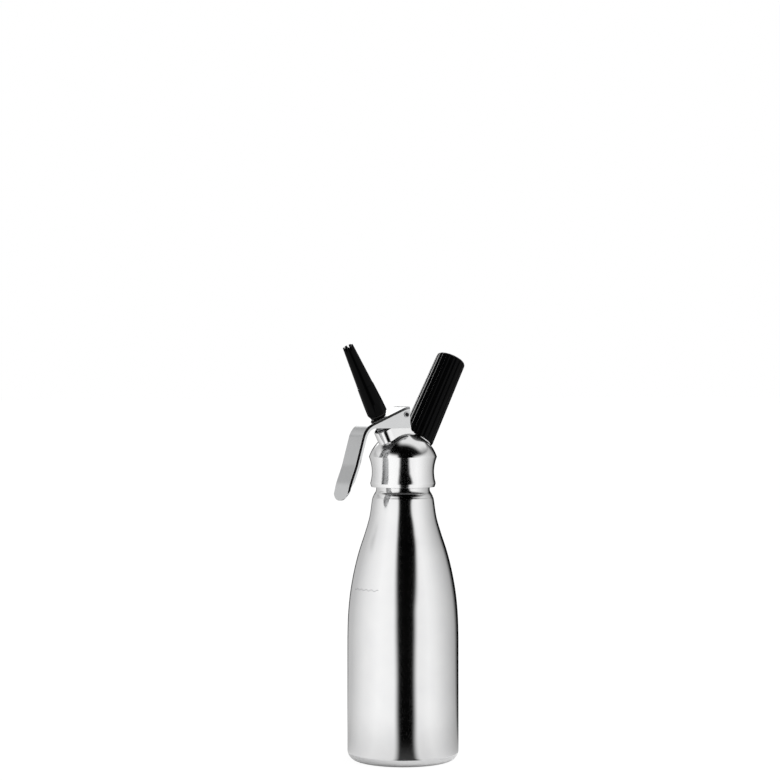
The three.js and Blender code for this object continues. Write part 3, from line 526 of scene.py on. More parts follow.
stub = turned("stub", rounded([
    (0, stub_foot),
    (stub_foot_radius, stub_foot),
    (stub_foot_radius, vault_radius + overrun),
    (stub_spot_radius, vault_radius + overrun),
    (stub_spot_radius, stub_spot_top, stub_spot_round),
    (stub_radius, stub_spot_top),
    (stub_radius, stub_top, stub_round),
    (0, stub_top),
]), 128, place=inlet_place)
valve_bore = turned("valve_bore", [
    (0, boss_foot - overrun),
    (flow_bore_radius, boss_foot - overrun),
    (flow_bore_radius, flow_bore_top),
    (bush_bore_radius, flow_bore_top),
    (bush_bore_radius, spring_pocket_floor),
    (spring_pocket_radius, spring_pocket_floor),
    (spring_pocket_radius, boss_top - spring_pocket_chamfer),
    (spring_pocket_radius + spring_pocket_chamfer + overrun, boss_top + overrun),
    (0, boss_top + overrun),
], 96, place=valve_place)
inlet_bore = turned("inlet_bore", [
    (0, stub_foot - overrun),
    (gas_bore_radius, stub_foot - overrun),
    (gas_bore_radius, gas_bore_top),
    (inlet_bore_radius, gas_bore_top),
    (inlet_bore_radius, inlet_bore_top),
    (stub_mouth, inlet_bore_top),
    (stub_mouth, stub_top - stub_chamfer),
    (stub_mouth + stub_chamfer + overrun, stub_top + overrun),
    (0, stub_top + overrun),
], 96, place=inlet_place)
pin_bore = drill("pin_bore", pin_radius + seal_gap, boss_radius + overrun, pin_place)
combine(
    head, ("UNION", lug), ("DIFFERENCE", holder_room), ("UNION", boss), ("UNION", stub),
    ("DIFFERENCE", valve_bore), ("DIFFERENCE", inlet_bore), ("DIFFERENCE", pin_bore),
)
polished_head = steel(
    "polished_head", (0.86, 0.86, 0.86), (0.84, 0.84, 0.845), (0.11, 0.15),
    fine=420.0, stretch=(1, 1, 1), relief=0.02, soft_edge=0.35,
)
# Dull steel painted dark, as painted shade for the collar's underside and the inside of the head
shaded_foot = steel(
    "shaded_foot", (0.17, 0.17, 0.172), (0.13, 0.13, 0.132), (0.4, 0.55),
    fine=700.0, stretch=(1, 1, 1), relief=0.1, soft_edge=0.15,
)
head.data.materials.append(polished_head)
head.data.materials.append(shaded_foot)
# The turned underside of the collar, its thread and the vault inside are unpolished, and painted dark as
# shade
for face in head.data.polygons:
    height = face.center.z / MM - seat_height
    across_axis = math.hypot(face.center.x, face.center.y) / MM
    underside = face.normal.z < -underside_share and height < -collar_depth + overrun
    inside_collar = height < 0 and across_axis < socket_radius + surface_margin
    face.material_index = int(underside or inside_collar)
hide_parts("head_casting")
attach(head, "head")

# Lever pin. A steel rivet through the lug and both flanges of the lever, its two ends upset
# cold into low round heads.
pin_head_radius = 2.7
pin_flush = 11.3
pin_end = 11.9
pin_dish_radius = 2.1
pin_dish_floor = 1.65
pin_dish_depth = 0.5
pin_rim_drop = 0.2
pin_edge_drop = 0.25
pin_edge_width = 0.2
pin_rim_round = 0.1
pin_edge_round = 0.15
pin_seat_round = 0.2
pin_half = rounded([
    (0, -pin_end + pin_dish_depth),
    (pin_dish_floor, -pin_end + pin_dish_depth, pin_rim_round),
    (pin_dish_radius, -pin_end + pin_rim_drop, pin_rim_round),
    (pin_head_radius - pin_edge_width, -pin_end + pin_edge_drop, pin_edge_round),
    (pin_head_radius, -pin_flush, pin_seat_round),
    (pin_radius, -pin_flush),
    (pin_radius, 0),
])
pin_other_half = [(radius, -height) for radius, height in reversed(pin_half[:-1])]
lever_pin = turned("lever_pin_rivet", pin_half + pin_other_half, 64, place=pin_place)
turned_steel = steel(
    "turned_steel", (0.62, 0.62, 0.63), (0.5, 0.5, 0.51), (0.16, 0.28),
    fine=1500.0, stretch=(1, 1, 1), relief=0.08, soft_edge=0.15,
)
# Near black steel, painted shade for the hollow of the pin's dish
pin_dish_shade = steel(
    "pin_dish_shade", (0.03, 0.03, 0.032), (0.02, 0.02, 0.021), (0.4, 0.55),
    fine=1100.0, stretch=(1, 1, 1), relief=0.1, soft_edge=0.15,
)
lever_pin.data.materials.append(turned_steel)
lever_pin.data.materials.append(pin_dish_shade)
# The floor of the dish that the punch has left in each end is painted near black, as painted shade in the
# hollow
for face in lever_pin.data.polygons:
    middle = pivot_place.inverted() @ (face.center / MM)
    if math.hypot(middle.x, middle.z) < pin_dish_floor and abs(middle.y) > pin_flush - overrun:
        face.material_index = 1
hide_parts("lever_pin")
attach(lever_pin, "head")

# Lever. One blank of stainless sheet, folded down at both sides into a channel that straddles
# the lug, then bent over into the handle, which ends in a slight outward curl.
lever_width = 22.0
lever_sheet = 1.2
fold_radius = 2.2
fold_flat_depth = 2.0
fold_flat_reach = 1.15
fold_plate_round = 0.3
fold_side_round = 1.0
fold_support = 0.8
plate_offset = 5.88
plate_slope = 21.7
plate_run = 32.8
plate_over_axis = 52.9
channel_deep = 24.0
channel_shallow = 15.5
channel_end = -39.0
lever_bend_radius = 18.0
lever_bend = 51.5
grip_run = 22.64
flare_radius = 62.0
flare_bend = 5.5
flare_run = 9.0
tip_bend_radius = 45.0
tip_bend = 8.0
tip_run = 11.7
tip_round = 10.0
flange_depth = 3.8
tip_flange_depth = 1.8
flange_fillet = 9.0
fillet_share = 0.86
rear_reach = 6.4
rear_corner = 3.0
rear_sweep_radius = 26.0
rear_sweep = 12.0
rear_sweep_start = -3.4
heel_round = 1.5
slot_radius = 5.2
slot_swing = 0.6


def heading(angle):
    """Direction along the lever where its outer face slopes down by the angle."""
    return Vector((-math.cos(math.radians(angle)), -math.sin(math.radians(angle))))


def outward(angle):
    """Direction out of the lever's outer face there."""
    return Vector((-math.sin(math.radians(angle)), math.cos(math.radians(angle))))


def tube(rows, count):
    """Faces of a tube that runs through rows of points, with a cap at each end."""
    faces = [face for i in range(rows - 1) for face in band(i * count, (i + 1) * count, count)]
    return faces + [list(range(count)), list(range((rows - 1) * count, rows * count))]


# Stations along the outer face: place, angle, how deep the channel is made there, and the
# depth of the finished flange. The rear end of the plate sweeps down a little
stations = []
foot_point = outward(plate_slope) * plate_offset
plate_end = foot_point + heading(plate_slope) * (plate_run - foot_point.x)
sweep_point = foot_point + heading(plate_slope) * (foot_point.x - rear_sweep_start)
sweep_centre = sweep_point - outward(plate_slope) * rear_sweep_radius
rear_angle = plate_slope - rear_sweep
rear_point = sweep_centre + outward(rear_angle) * rear_sweep_radius
stations.append((rear_point - heading(rear_angle) * rear_reach, rear_angle, channel_deep, flange_depth))
for k in range(6):
    reached = rear_angle + rear_sweep * k / 6
    swept = sweep_centre + outward(reached) * rear_sweep_radius
    stations.append((swept, reached, channel_deep, flange_depth))
for k in range(9):
    share = k / 8
    depth = channel_deep + (channel_shallow - channel_deep) * max(0, share * 2 - 1)
    stations.append((sweep_point.lerp(plate_end, share), plate_slope, depth, flange_depth))
place = plate_end
angle = plate_slope
for radius, turn, steps, run, at_end in (
    (lever_bend_radius, lever_bend, 30, grip_run, flange_depth),
    (flare_radius, -flare_bend, 6, flare_run, flange_depth),
    (tip_bend_radius, tip_bend, 8, tip_run, tip_flange_depth),
):
    side = math.copysign(1, turn)
    centre = place - outward(angle) * side * radius
    depth_before = stations[-1][3]
    for k in range(1, steps + 1):
        reached = angle + turn * k / steps
        place = centre + outward(reached) * side * radius
        depth = depth_before + (at_end - depth_before) * k / steps
        stations.append((place, reached, channel_shallow, depth))
    angle += turn
    bend_end = place
    for k in range(1, 5):
        place = bend_end + heading(angle) * run * k / 4
        stations.append((place, angle, channel_shallow, at_end))

half_width = lever_width / 2
inner_radius = fold_radius - lever_sheet
inner_fold = arc(-half_width + fold_radius, lever_sheet + inner_radius, inner_radius, -90, -180, 6)
vertices = []
for place, angle, depth, _ in stations:
    half = rounded([
        (-half_width, depth), (-half_width, fold_flat_depth + fold_support),
        (-half_width, fold_flat_depth, fold_side_round),
        (-half_width + fold_flat_reach, 0, fold_plate_round),
        (-half_width + fold_flat_reach + fold_support, 0),
    ], steps=8)
    inside = [*inner_fold, (-half_width + lever_sheet, depth)]
    section = half + [(-y, d) for y, d in reversed(half)]
    section += [(-y, d) for y, d in reversed(inside)] + inside
    for y, d in section:
        point = place - outward(angle) * d
        vertices.append((point.x, y, point.y))
lever = mesh_piece("squeeze_lever", vertices, tube(len(stations), len(section)), pivot_place)

# Side view that the flanges are blanked to, with the round corner behind the pivot
slope = math.radians(plate_slope)
corner_top = plate_offset / math.cos(slope) + math.tan(slope) * (rear_reach - rear_corner)
above = [p + outward(a) * overrun for p, a, _, _ in stations[1:]]
below = [p - outward(a) * d for p, a, _, d in stations]
fillet_angle = plate_slope + lever_bend * fillet_share
fillet_start = next(i for i, station in enumerate(stations) if station[1] > fillet_angle)
fillet_point = below[fillet_start]
blank = [
    *(tuple(p) for p in above),
    (above[-1].x, above[-1].y - lever_width),
    (below[-1].x, above[-1].y - lever_width),
    *(tuple(p) for p in reversed(below[fillet_start:])),
    *curve(
        fillet_point, (fillet_point.x + flange_fillet * math.sin(slope), -flange_drop),
        (fillet_point.x + flange_fillet, -flange_drop), 12,
    )[1:],
    *curve((rear_reach - heel_round, -flange_drop), (rear_reach, -flange_drop),
           (rear_reach, -flange_drop + heel_round), 12),
    *curve((rear_reach, corner_top - rear_corner), (rear_reach, corner_top + seal_gap),
           (rear_reach - rear_corner, corner_top), 12),
    (rear_reach - rear_corner, corner_top + overrun),
]
side_trim = extruded("side_trim", blank, -lever_width, lever_width, pivot_place)

# Front view that gives the handle its round end
tip = stations[-1][0]
round_level = tip.y + tip_round
front = [
    (-half_width - overrun, plate_offset + lever_width), (half_width + overrun, plate_offset + lever_width),
    (half_width + overrun, round_level + tip_round), (half_width, round_level),
]
for k in range(1, 40):
    turn = math.pi * k / 40
    front.append((half_width * math.cos(turn), round_level - tip_round * math.sin(turn)))
front += [(-half_width, round_level), (-half_width - overrun, round_level + tip_round)]
tip_trim = extruded(
    "tip_trim", front, -lever_width * 3, lever_width * 3,
    pivot_place @ Matrix.Translation((tip.x, 0, 0)) @ Matrix.Rotation(math.radians(90), 4, "Z"),
)
crossing = lean * plate_over_axis + boss_axis
slot_outline = [(x + slot_swing, y) for x, y in arc(0, 0, slot_radius, -90, 90, 32)]
slot_outline += [(x - slot_swing, y) for x, y in arc(0, 0, slot_radius, 90, 270, 32)]
slot_cut = extruded(
    "slot_cut", slot_outline, -overrun, lever_sheet + overrun,
    pivot_place @ Matrix.Translation((crossing.x, 0, crossing.y))
    @ Matrix.Rotation(-slope, 4, "Y") @ Matrix.Translation((slot_swing, 0, 0))
    @ Matrix.Rotation(math.radians(-90), 4, "X"),
)
pin_holes = drill("pin_holes", pin_radius + seal_gap, lever_width, pin_place)
combine(
    lever, ("INTERSECT", side_trim), ("INTERSECT", tip_trim), ("DIFFERENCE", slot_cut),
    ("DIFFERENCE", pin_holes),
)
satin_lever = steel(
    "satin_lever", (0.66, 0.665, 0.67), (0.64, 0.645, 0.65), (0.15, 0.2),
    fine=1100.0, stretch=(2.0, 0.08, 0.35), relief=0.025, soft_edge=0.2,
)
# Dull steel painted dark, as painted shade for the inside of the lever's channel
dull_painted_shade_lever = steel(
    "dull_painted_shade_lever", (0.15, 0.15, 0.153), (0.12, 0.12, 0.122), (0.4, 0.5),
    fine=1100.0, stretch=(2.0, 0.08, 0.35), relief=0.05, soft_edge=0.2,
)
lever.data.materials.append(satin_lever)
lever.data.materials.append(dull_painted_shade_lever)
# The inside of the channel over the head is dull, and painted dark as shade where it faces in and down
# towards the head
toward_head = Vector((0.9, 0, -0.44))
inward_share = 0.5
downward_share = 0.4
for face in lever.data.polygons:
    faces_in = face.normal.y * face.center.y < 0 and abs(face.normal.y) > inward_share
    faces_down = face.normal.dot(toward_head) > downward_share
    over_head = face.center.x > channel_end * MM
    face.material_index = int(over_head and (faces_in or faces_down))
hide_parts("lever")
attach(lever, "lever")

# Valve spring. Round stainless wire wound on the stem between its seat in the boss and the
# collar under the lever, which it pushes up. It closes up as the lever is squeezed.
spring_wire = 1.3
spring_radius = 5.9
spring_turns = 4.25
spring_foot = 37.6
spring_top = 47.75
wire_sides = 14
wire_steps = 220
spring_low = spring_foot + spring_wire / 2
spring_high = spring_top - spring_wire / 2
vertices = []
for i in range(wire_steps + 1):
    share = i / wire_steps
    turn = share * spring_turns * 2 * math.pi
    centre = Vector((
        spring_radius * math.cos(turn), spring_radius * math.sin(turn),
        spring_low + (spring_high - spring_low) * share,
    ))
    radial = Vector((math.cos(turn), math.sin(turn), 0))
    for k in range(wire_sides):
        a = 2 * math.pi * k / wire_sides
        vertices.append(centre + (radial * math.cos(a) + Vector((0, 0, math.sin(a)))) * spring_wire / 2)
spring = mesh_piece("coil_spring", vertices, tube(wire_steps + 1, wire_sides), valve_place, sharp=50)
drawn_wire = steel(
    "drawn_wire", (0.55, 0.55, 0.56), (0.45, 0.45, 0.46), (0.2, 0.3),
    fine=1400.0, stretch=(1, 1, 1), relief=0.06, soft_edge=0.1,
)
spring.data.materials.append(drawn_wire)
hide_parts("valve_spring")
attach(spring, "head")
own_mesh(spring)

# Spring collar. A washer turned from stainless bar, which sits loosely on the stem under the
# lever. The spring pushes it up against the foot of the nozzle adapter.
spring_collar_radius = 6.8
collar_inner = 4.3
collar_low, collar_high = 48.05, 49.55
collar_bore_round = 0.2
collar_rim_round = 0.3
spring_collar = flat_ring(
    "spring_collar_washer", collar_inner, spring_collar_radius, collar_low, collar_high,
    (collar_bore_round, collar_rim_round), place=valve_place,
)
spring_collar.data.materials.append(turned_steel)
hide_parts("spring_collar")
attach(spring_collar, "valve")

# Nozzle adapter. A moulded black bush screwed to the stem through the slot of the lever, with a
# disc that rests on the lever and a stud that takes the nozzle.
disc_low, disc_high = 54.1, 54.6
adapter_low = 49.85
adapter_shank = 4.9
adapter_disc = 7.15
adapter_stud = 5.0
adapter_top = 66.35
adapter_foot_round = 0.1
disc_low_round = 0.2
disc_high_round = 0.3
stud_round = 0.5
stem_bore = 2.3
stem_bore_round = 0.3
adapter = turned("nozzle_bush", rounded([
    (collar_inner, adapter_low, adapter_foot_round),
    (adapter_shank, adapter_low, adapter_foot_round),
    (adapter_shank, disc_low),
    (adapter_disc, disc_low, disc_low_round),
    (adapter_disc, disc_high, disc_high_round),
    (adapter_stud, disc_high),
    (adapter_stud, adapter_top, stud_round),
    (stem_bore, adapter_top, stem_bore_round),
    (stem_bore, disc_high),
    (collar_inner, disc_high),
], closed=True), 96, closed=True, place=valve_place)
black_plastic = moulded("black_plastic", (0.0012, 0.0012, 0.0014), (0.16, 0.22), 0.05, 1300.0, 0.04)
adapter.data.materials.append(black_plastic)
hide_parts("nozzle_adapter")
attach(adapter, "valve")

# Nozzle washer. A flat ring stamped from black rubber and laid round the adapter's stud. The
# nozzle is screwed down on it, and it seals the nozzle's foot on the adapter's disc.
washer_low, washer_high = 54.85, 56.05
washer_radius = 7.6
washer_round = 0.4
washer_bore = 5.3
washer_bore_round = 0.2
washer = flat_ring(
    "rubber_washer", washer_bore, washer_radius, washer_low, washer_high,
    (washer_bore_round, washer_round), place=valve_place,
)
black_rubber = moulded("black_rubber", (0.012, 0.012, 0.012), (0.55, 0.75), 0.3, 1100.0, 0.2)
washer.data.materials.append(black_rubber)
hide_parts("nozzle_washer")
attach(washer, "washer")

# Decorating nozzle. One moulding in black plastic: a tapered tube with eight flats to grip at its
# foot, a small shoulder halfway and a crown of seven teeth that shape the cream.
nozzle_foot = 56.35
nozzle_tip = 120.65
foot_radius = 8.85
foot_round = 1.1
shoulder = nozzle_foot + 26.9
shoulder_radius = 7.0
shoulder_step = 0.3
tip_radius = 4.85
tip_wall = 1.2
socket = 5.3
socket_top = nozzle_foot + 11.0
socket_step = 0.3
nozzle_bore = 5.6
teeth = 7
tooth_turn = math.radians(-102)
tooth_depth = 4.4
tooth_gap = 2.5
flats = 8
flat_distance = 8.13
flat_height = 10.5
flat_edge = 0.02
notch_edge = 0.01
columns = 336
flat_level = nozzle_foot + flat_height
notch_foot = nozzle_tip - tooth_depth


def straight(start, end, steps):
    """Points on a straight line, without its start."""
    return [tuple(a + (b - a) * k / steps for a, b in zip(start, end)) for k in range(1, steps + 1)]


def gripped(radius, height, turn):
    """Radius of the nozzle where a flat cuts it."""
    if height > flat_level + notch_edge:
        return radius
    step = 2 * math.pi / flats
    return min(radius, flat_distance / math.cos(turn % step - step / 2))


def toothed(radius, turn):
    """Radius and height of the tip, where a V is cut down to the notch's foot between two teeth."""
    step = 2 * math.pi / teeth
    off = abs((turn - tooth_turn + step / 2) % step - step / 2) * tip_radius
    level = nozzle_tip - tooth_depth * max(0.0, 1 - off / (tooth_gap / 2))
    share = (level - notch_foot) / tooth_depth
    return radius + shoulder_step * (1 - share), max(level, notch_foot + notch_edge)


outside = [
    *arc(foot_radius - foot_round, nozzle_foot + foot_round, foot_round, -90, 0, 6),
    *straight((foot_radius, nozzle_foot + foot_round),
              (shoulder_radius + shoulder_step, shoulder - shoulder_step), 24),
    (shoulder_radius, shoulder),
    *straight((shoulder_radius, shoulder), (tip_radius, notch_foot), 12),
]
# The flats end in a sharp step, made by two points close together
over_flats = next(i for i, (_, height) in enumerate(outside) if height > flat_level)
low_radius, low_height = outside[over_flats - 1]
high_radius, high_height = outside[over_flats]
mix = (flat_level - low_height) / (high_height - low_height)
edge_radius = low_radius + (high_radius - low_radius) * mix
outside[over_flats:over_flats] = [(edge_radius, flat_level), (edge_radius, flat_level + flat_edge)]
vertices, faces = [], []
for radius, height in outside:
    vertices += ring(columns, lambda turn: (gripped(radius, height, turn), height))
for radius in (tip_radius - shoulder_step, tip_radius - shoulder_step - tip_wall):
    vertices += ring(columns, lambda turn: toothed(radius, turn))
for radius, height in (
    (tip_radius - tip_wall, notch_foot), (nozzle_bore, socket_top + foot_round),
    (nozzle_bore, socket_top), (socket, socket_top - socket_step), (socket, nozzle_foot),
):
    vertices += ring(columns, lambda turn: (radius, height))
rows = len(vertices) // columns
for i in range(rows):
    faces += band(i * columns, (i + 1) % rows * columns, columns)
nozzle = mesh_piece("star_nozzle", vertices, faces, valve_place, sharp=26)
nozzle.data.materials.append(black_plastic)
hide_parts("decorator_nozzle")
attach(nozzle, "nozzle")

# Charger holder. A thick moulded cap with eighteen shallow flutes to grip, that run out over its
# rounded end. It closes over the gas charger and screws down on the stub of the head.
holder_foot = 31.4
holder_inner_end = 107.8
holder_end_wall = 3.4
holder_top = holder_inner_end + holder_end_wall
holder_foot_radius = 14.3
holder_taper = 1.35
holder_end_round = 3.0
holder_foot_round = 0.8
rib_start = 2.4
holder_crown = 1.0
ribs = 18
rib_depth = 0.75
rib_columns = 14
rib_power = 3
rib_foot_share = 0.5
liner_seat = 12.6
liner_end = 48.0
holder_bore = 9.6
holder_bore_start = 49.5
rib_low = holder_foot + rib_start
round_start = holder_top - holder_crown - holder_end_round


def flank(height):
    """Radius of the holder's tapered side."""
    return holder_foot_radius - holder_taper * (height - holder_foot) / (holder_top - holder_foot)


def fluted(radius, depth, turn):
    """Radius where the flutes have reached the share depth of their full depth."""
    wave = (0.5 + 0.5 * math.cos(ribs * turn - math.pi)) ** rib_power
    return radius - rib_depth * depth * wave


# Levels up the outside: radius, height and how far the flutes are cut in
levels = []
foot_centre = holder_foot_radius - holder_foot_round, holder_foot + holder_foot_round
for k, (radius, height) in enumerate(arc(*foot_centre, holder_foot_round, -90, 0, 4)):
    levels.append((radius, height, rib_foot_share * k / 4))
for k in range(10):
    height = rib_low + (round_start - rib_low) * k / 10
    levels.append((flank(height), height, 1.0))
end_centre = flank(round_start) - holder_end_round, round_start
for k, (radius, height) in enumerate(arc(*end_centre, holder_end_round, 0, 90, 10)):
    levels.append((radius, height, 1 - k / 10))
crown_radius, crown_level, _ = levels[-1]
for k in range(1, 8):
    share = k / 8
    levels.append((crown_radius * (1 - share), crown_level + holder_crown * (1 - (1 - share) ** 2), 0.0))
around = ribs * rib_columns
vertices, faces = [], []
for radius, height, depth in levels:
    vertices += ring(around, lambda turn: (fluted(radius, depth, turn), height))
for radius, height in (
    (holder_bore, holder_inner_end), (holder_bore, holder_bore_start),
    (liner_seat, liner_end), (liner_seat, holder_foot),
):
    vertices += ring(around, lambda turn: (radius, height))
rows = len(levels)
all_rows = len(vertices) // around
for i in range(all_rows):
    # The crown and the end of the bore are closed below, and not joined to each other
    if i != rows - 1:
        faces += band(i * around, (i + 1) % all_rows * around, around)
top_point, end_point = len(vertices), len(vertices) + 1
vertices += [(0, 0, holder_top), (0, 0, holder_inner_end)]
for k in range(around):
    after = (k + 1) % around
    faces.append([(rows - 1) * around + k, (rows - 1) * around + after, top_point])
    faces.append([rows * around + after, rows * around + k, end_point])
holder = mesh_piece("ribbed_holder", vertices, faces, inlet_place, sharp=40)
holder.data.materials.append(black_plastic)
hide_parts("charger_holder")
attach(holder, "holder")

# Inner pieces. The valve's stem, seals, nuts and bush, the gas inlet, its seals and its pin, and
# the charger with its liner and pad stay as built, each with the finish of its own metal or rubber.
brass = steel(
    "turned_brass", (0.72, 0.52, 0.24), (0.62, 0.43, 0.18), (0.2, 0.32),
    fine=1500.0, stretch=(1, 1, 1), relief=0.08, soft_edge=0.15,
)
charger_steel = steel(
    "drawn_charger", (0.6, 0.6, 0.61), (0.52, 0.52, 0.53), (0.2, 0.32),
    fine=900.0, stretch=(1, 1, 0.1), relief=0.1, soft_edge=0.2,
)
white_plastic = moulded("white_plastic", (0.72, 0.72, 0.68), (0.4, 0.55), 0.4, 1200.0, 0.1)
inner_finish = {
    "valve_guide_bush": white_plastic, "guide_o_ring": black_rubber, "spring_seat": turned_steel,
    "valve_stem": turned_steel, "stem_seal": red_silicone, "stem_nut": turned_steel,
    "inlet_valve_body": brass, "inlet_nut": brass, "check_valve_sleeve": red_silicone,
    "piercing_pin": turned_steel, "neck_seal": black_rubber, "gas_charger": charger_steel,
    "holder_thread_liner": turned_steel, "holder_end_pad": black_rubber,
}
for name, finish in inner_finish.items():
    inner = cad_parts[name]
    inner.data.materials.clear()
    inner.data.materials.append(finish)

# Floor. A plain pale sheet that the whipper stands on. It shows white to the camera and keeps
# the soft shadow under the bottle. From here on, sizes and places are in metres.
floor_half = 60.0
floor_glow = 1.07
floor_glow_share = 0.86
floor_mesh = bpy.data.meshes.new("floor")
floor_corners = [(x * floor_half, y * floor_half, 0) for x, y in ((-1, -1), (1, -1), (1, 1), (-1, 1))]
floor_mesh.from_pydata(floor_corners, [], [(0, 1, 2, 3)])
floor = placed("floor", floor_mesh)
paper, tree, shader = new_finish("pale_floor")
shader.inputs["Base Color"].default_value = (0.9, 0.9, 0.9, 1)
shader.inputs["Roughness"].default_value = 0.9
shader.inputs["Specular IOR Level"].default_value = 0.0
glow = node(tree, "Emission", {"Color": (1, 1, 1, 1), "Strength": floor_glow})
share = product(tree, node(tree, "LightPath").outputs["Is Camera Ray"], floor_glow_share)
mixed = node(tree, "MixShader", {0: share, 1: shader.outputs[0], 2: glow.outputs[0]})
tree.links.new(mixed.outputs[0], tree.nodes["Material Output"].inputs["Surface"])
floor.data.materials.append(paper)

# Camera. It looks level from the height of the nozzle, in front and to the left of the bottle,
# far enough away that the whipper is drawn with little perspective.
camera_distance = 1.8
camera_height = 0.3154
camera_azimuth = math.radians(-36)
camera_side = 0.0111
camera_lens = 96.94
camera_sensor = 36.0
camera_data = bpy.data.cameras.new("camera")
camera_data.lens = camera_lens
camera_data.sensor_width = camera_sensor
camera = placed("camera", camera_data)
forward = Vector((-math.sin(camera_azimuth), math.cos(camera_azimuth), 0))
right = Vector((math.cos(camera_azimuth), math.sin(camera_azimuth), 0))
camera.location = -forward * camera_distance - right * camera_side + Vector((0, 0, camera_height))
camera.rotation_euler = (math.radians(90), 0, camera_azimuth)
bpy.context.scene.camera = camera

# Light tent. A bowl of lit paper round the whipper that only the polished surfaces see: bright
# walls at both sides, a black slit towards the camera, black behind under a bright band, and a
# soft box overhead.
tent_radius = 2.4
tent_mouth = 0.056
tent_floor = 0.001
tent_centre = 0.26
# Brightness of the walls round the tent: degrees from the camera, right positive, and level
wall_levels = [
    (-162, 0.0), (-154, 0.55), (-127, 0.64), (-88, 0.96), (-52, 1.14), (34, 1.02),
    (52, 1.09), (68, 1.0), (94, 0.76), (131, 0.46), (140, 0.2), (148, 0.0),
]
brightest = 1.2
# Each edge is a pair, of where it starts and where it is full: in degrees round the tent or up
# from its centre, or for the foot in metres from its axis
wall_top_edge = (39.0, 27.0)
left_wall_edge = (10.0, -30.0)
left_wall_extra = 7.0
# The two sides of the slit in degrees: the place of each, its slant for each degree above the
# centre, and how far it comes in below the level of the eye and close to the bottle's foot
slit_sides = [(-14.5, -0.13, 2.0, 3.0), (25.0, 0.45, -2.0, -3.5)]
slit_soft = 6.0
slit_low_edge = (-6.0, -24.0)
foot_edge = (0.3, 0.06)
foot_shade = 0.2
foot_glow_edge = (0.16, 0.06)
foot_glow = 0.05
backdrop_light = 1.6
backdrop_left_edge = (-136.0, -158.0)
backdrop_right_edge = (150.0, 160.0)
backdrop_low_edge = (12.0, 20.0)
backdrop_high_edge = (44.0, 36.0)
handle_shade = 0.26
handle_near_edge = (-85.0, -105.0)
handle_far_edge = (-140.0, -125.0)
handle_low_edge = (15.0, 19.0)
handle_high_edge = (26.0, 22.0)
tent_outline = [
    (tent_mouth, tent_floor),
    *arc(0, tent_floor, tent_radius, 0, 90, 16)[:-1],
    (0, tent_floor + tent_radius),
]
tent_facing = Matrix.Rotation(camera_azimuth - math.radians(90), 4, "Z")
tent = turned("light_tent", [(r / MM, z / MM) for r, z in tent_outline], 72)
tent.matrix_world = tent_facing
lit_paper, tree, shader = new_finish("lit_paper")
tree.nodes.remove(shader)


def span(tree, value, one_edge, other_edge):
    """Is 1 between two soft edges and 0 outside them."""
    return product(tree, ease(tree, value, *one_edge), ease(tree, value, *other_edge))


spot = node(tree, "TexCoord").outputs["Object"]
toward, across, up = node(tree, "SeparateXYZ", {0: spot}).outputs
side_angle = compute(tree, "DEGREES", compute(tree, "ARCTAN2", across, toward))
reach_squared = compute(tree, "ADD", product(tree, across, across), product(tree, toward, toward))
reach = compute(tree, "SQRT", reach_squared)
rise = compute(tree, "DEGREES", compute(tree, "ARCTAN2", compute(tree, "SUBTRACT", up, tent_centre), reach))
above = compute(tree, "MAXIMUM", rise, 0.0)
round_share = node(tree, "MapRange", {"Value": side_angle, "From Min": -180.0, "From Max": 180.0})
wall = node(tree, "ValToRGB", {0: round_share.outputs[0]})
ramp = wall.color_ramp
while len(ramp.elements) < len(wall_levels):
    ramp.elements.new(0.5)
for element, (angle, brightness) in zip(ramp.elements, wall_levels):
    element.position = (angle + 180) / 360
    element.color = (brightness / brightest, brightness / brightest, brightness / brightest, 1)
below = ease(tree, rise, *slit_low_edge)
near_foot = ease(tree, reach, *foot_edge)
slit_places = []
for slit_place, slant, low_in, foot_in in slit_sides:
    for amount, change in ((below, low_in), (near_foot, foot_in), (above, slant)):
        slit_place = compute(tree, "MULTIPLY_ADD", amount, change, slit_place)
    slit_places.append(slit_place)
slit_left, slit_right = slit_places
left_wall = ease(tree, side_angle, compute(tree, "ADD", slit_left, slit_soft),
                 compute(tree, "SUBTRACT", slit_left, slit_soft))
right_wall = ease(tree, side_angle, compute(tree, "SUBTRACT", slit_right, slit_soft),
                  compute(tree, "ADD", slit_right, slit_soft))
# The paper close to the bottle's foot is in half shade, and some light gets into the slit there
walls = product(
    tree, product(tree, wall.outputs[0], brightest), compute(tree, "ADD", left_wall, right_wall),
    compute(tree, "MULTIPLY_ADD", near_foot, -foot_shade, 1.0),
)
walls = compute(tree, "MAXIMUM", walls, product(tree, ease(tree, reach, *foot_glow_edge), foot_glow))
# The upper part of the left wall is a little darker, where the lever's handle faces it
faces_handle = product(tree, span(tree, side_angle, handle_near_edge, handle_far_edge),
                       span(tree, rise, handle_low_edge, handle_high_edge))
walls = product(tree, walls, compute(tree, "MULTIPLY_ADD", faces_handle, -handle_shade, 1.0))
# The left wall reaches higher than the right one
extra = product(tree, ease(tree, side_angle, *left_wall_edge), left_wall_extra)
walls = product(tree, walls, ease(tree, compute(tree, "SUBTRACT", rise, extra), *wall_top_edge))
# A bright band hangs behind the whipper, above the black
right_behind = compute(tree, "ADD", ease(tree, side_angle, *backdrop_left_edge),
                     ease(tree, side_angle, *backdrop_right_edge))
behind = product(tree, span(tree, rise, backdrop_low_edge, backdrop_high_edge), backdrop_light)
walls = compute(tree, "MAXIMUM", walls, product(tree, right_behind, behind))
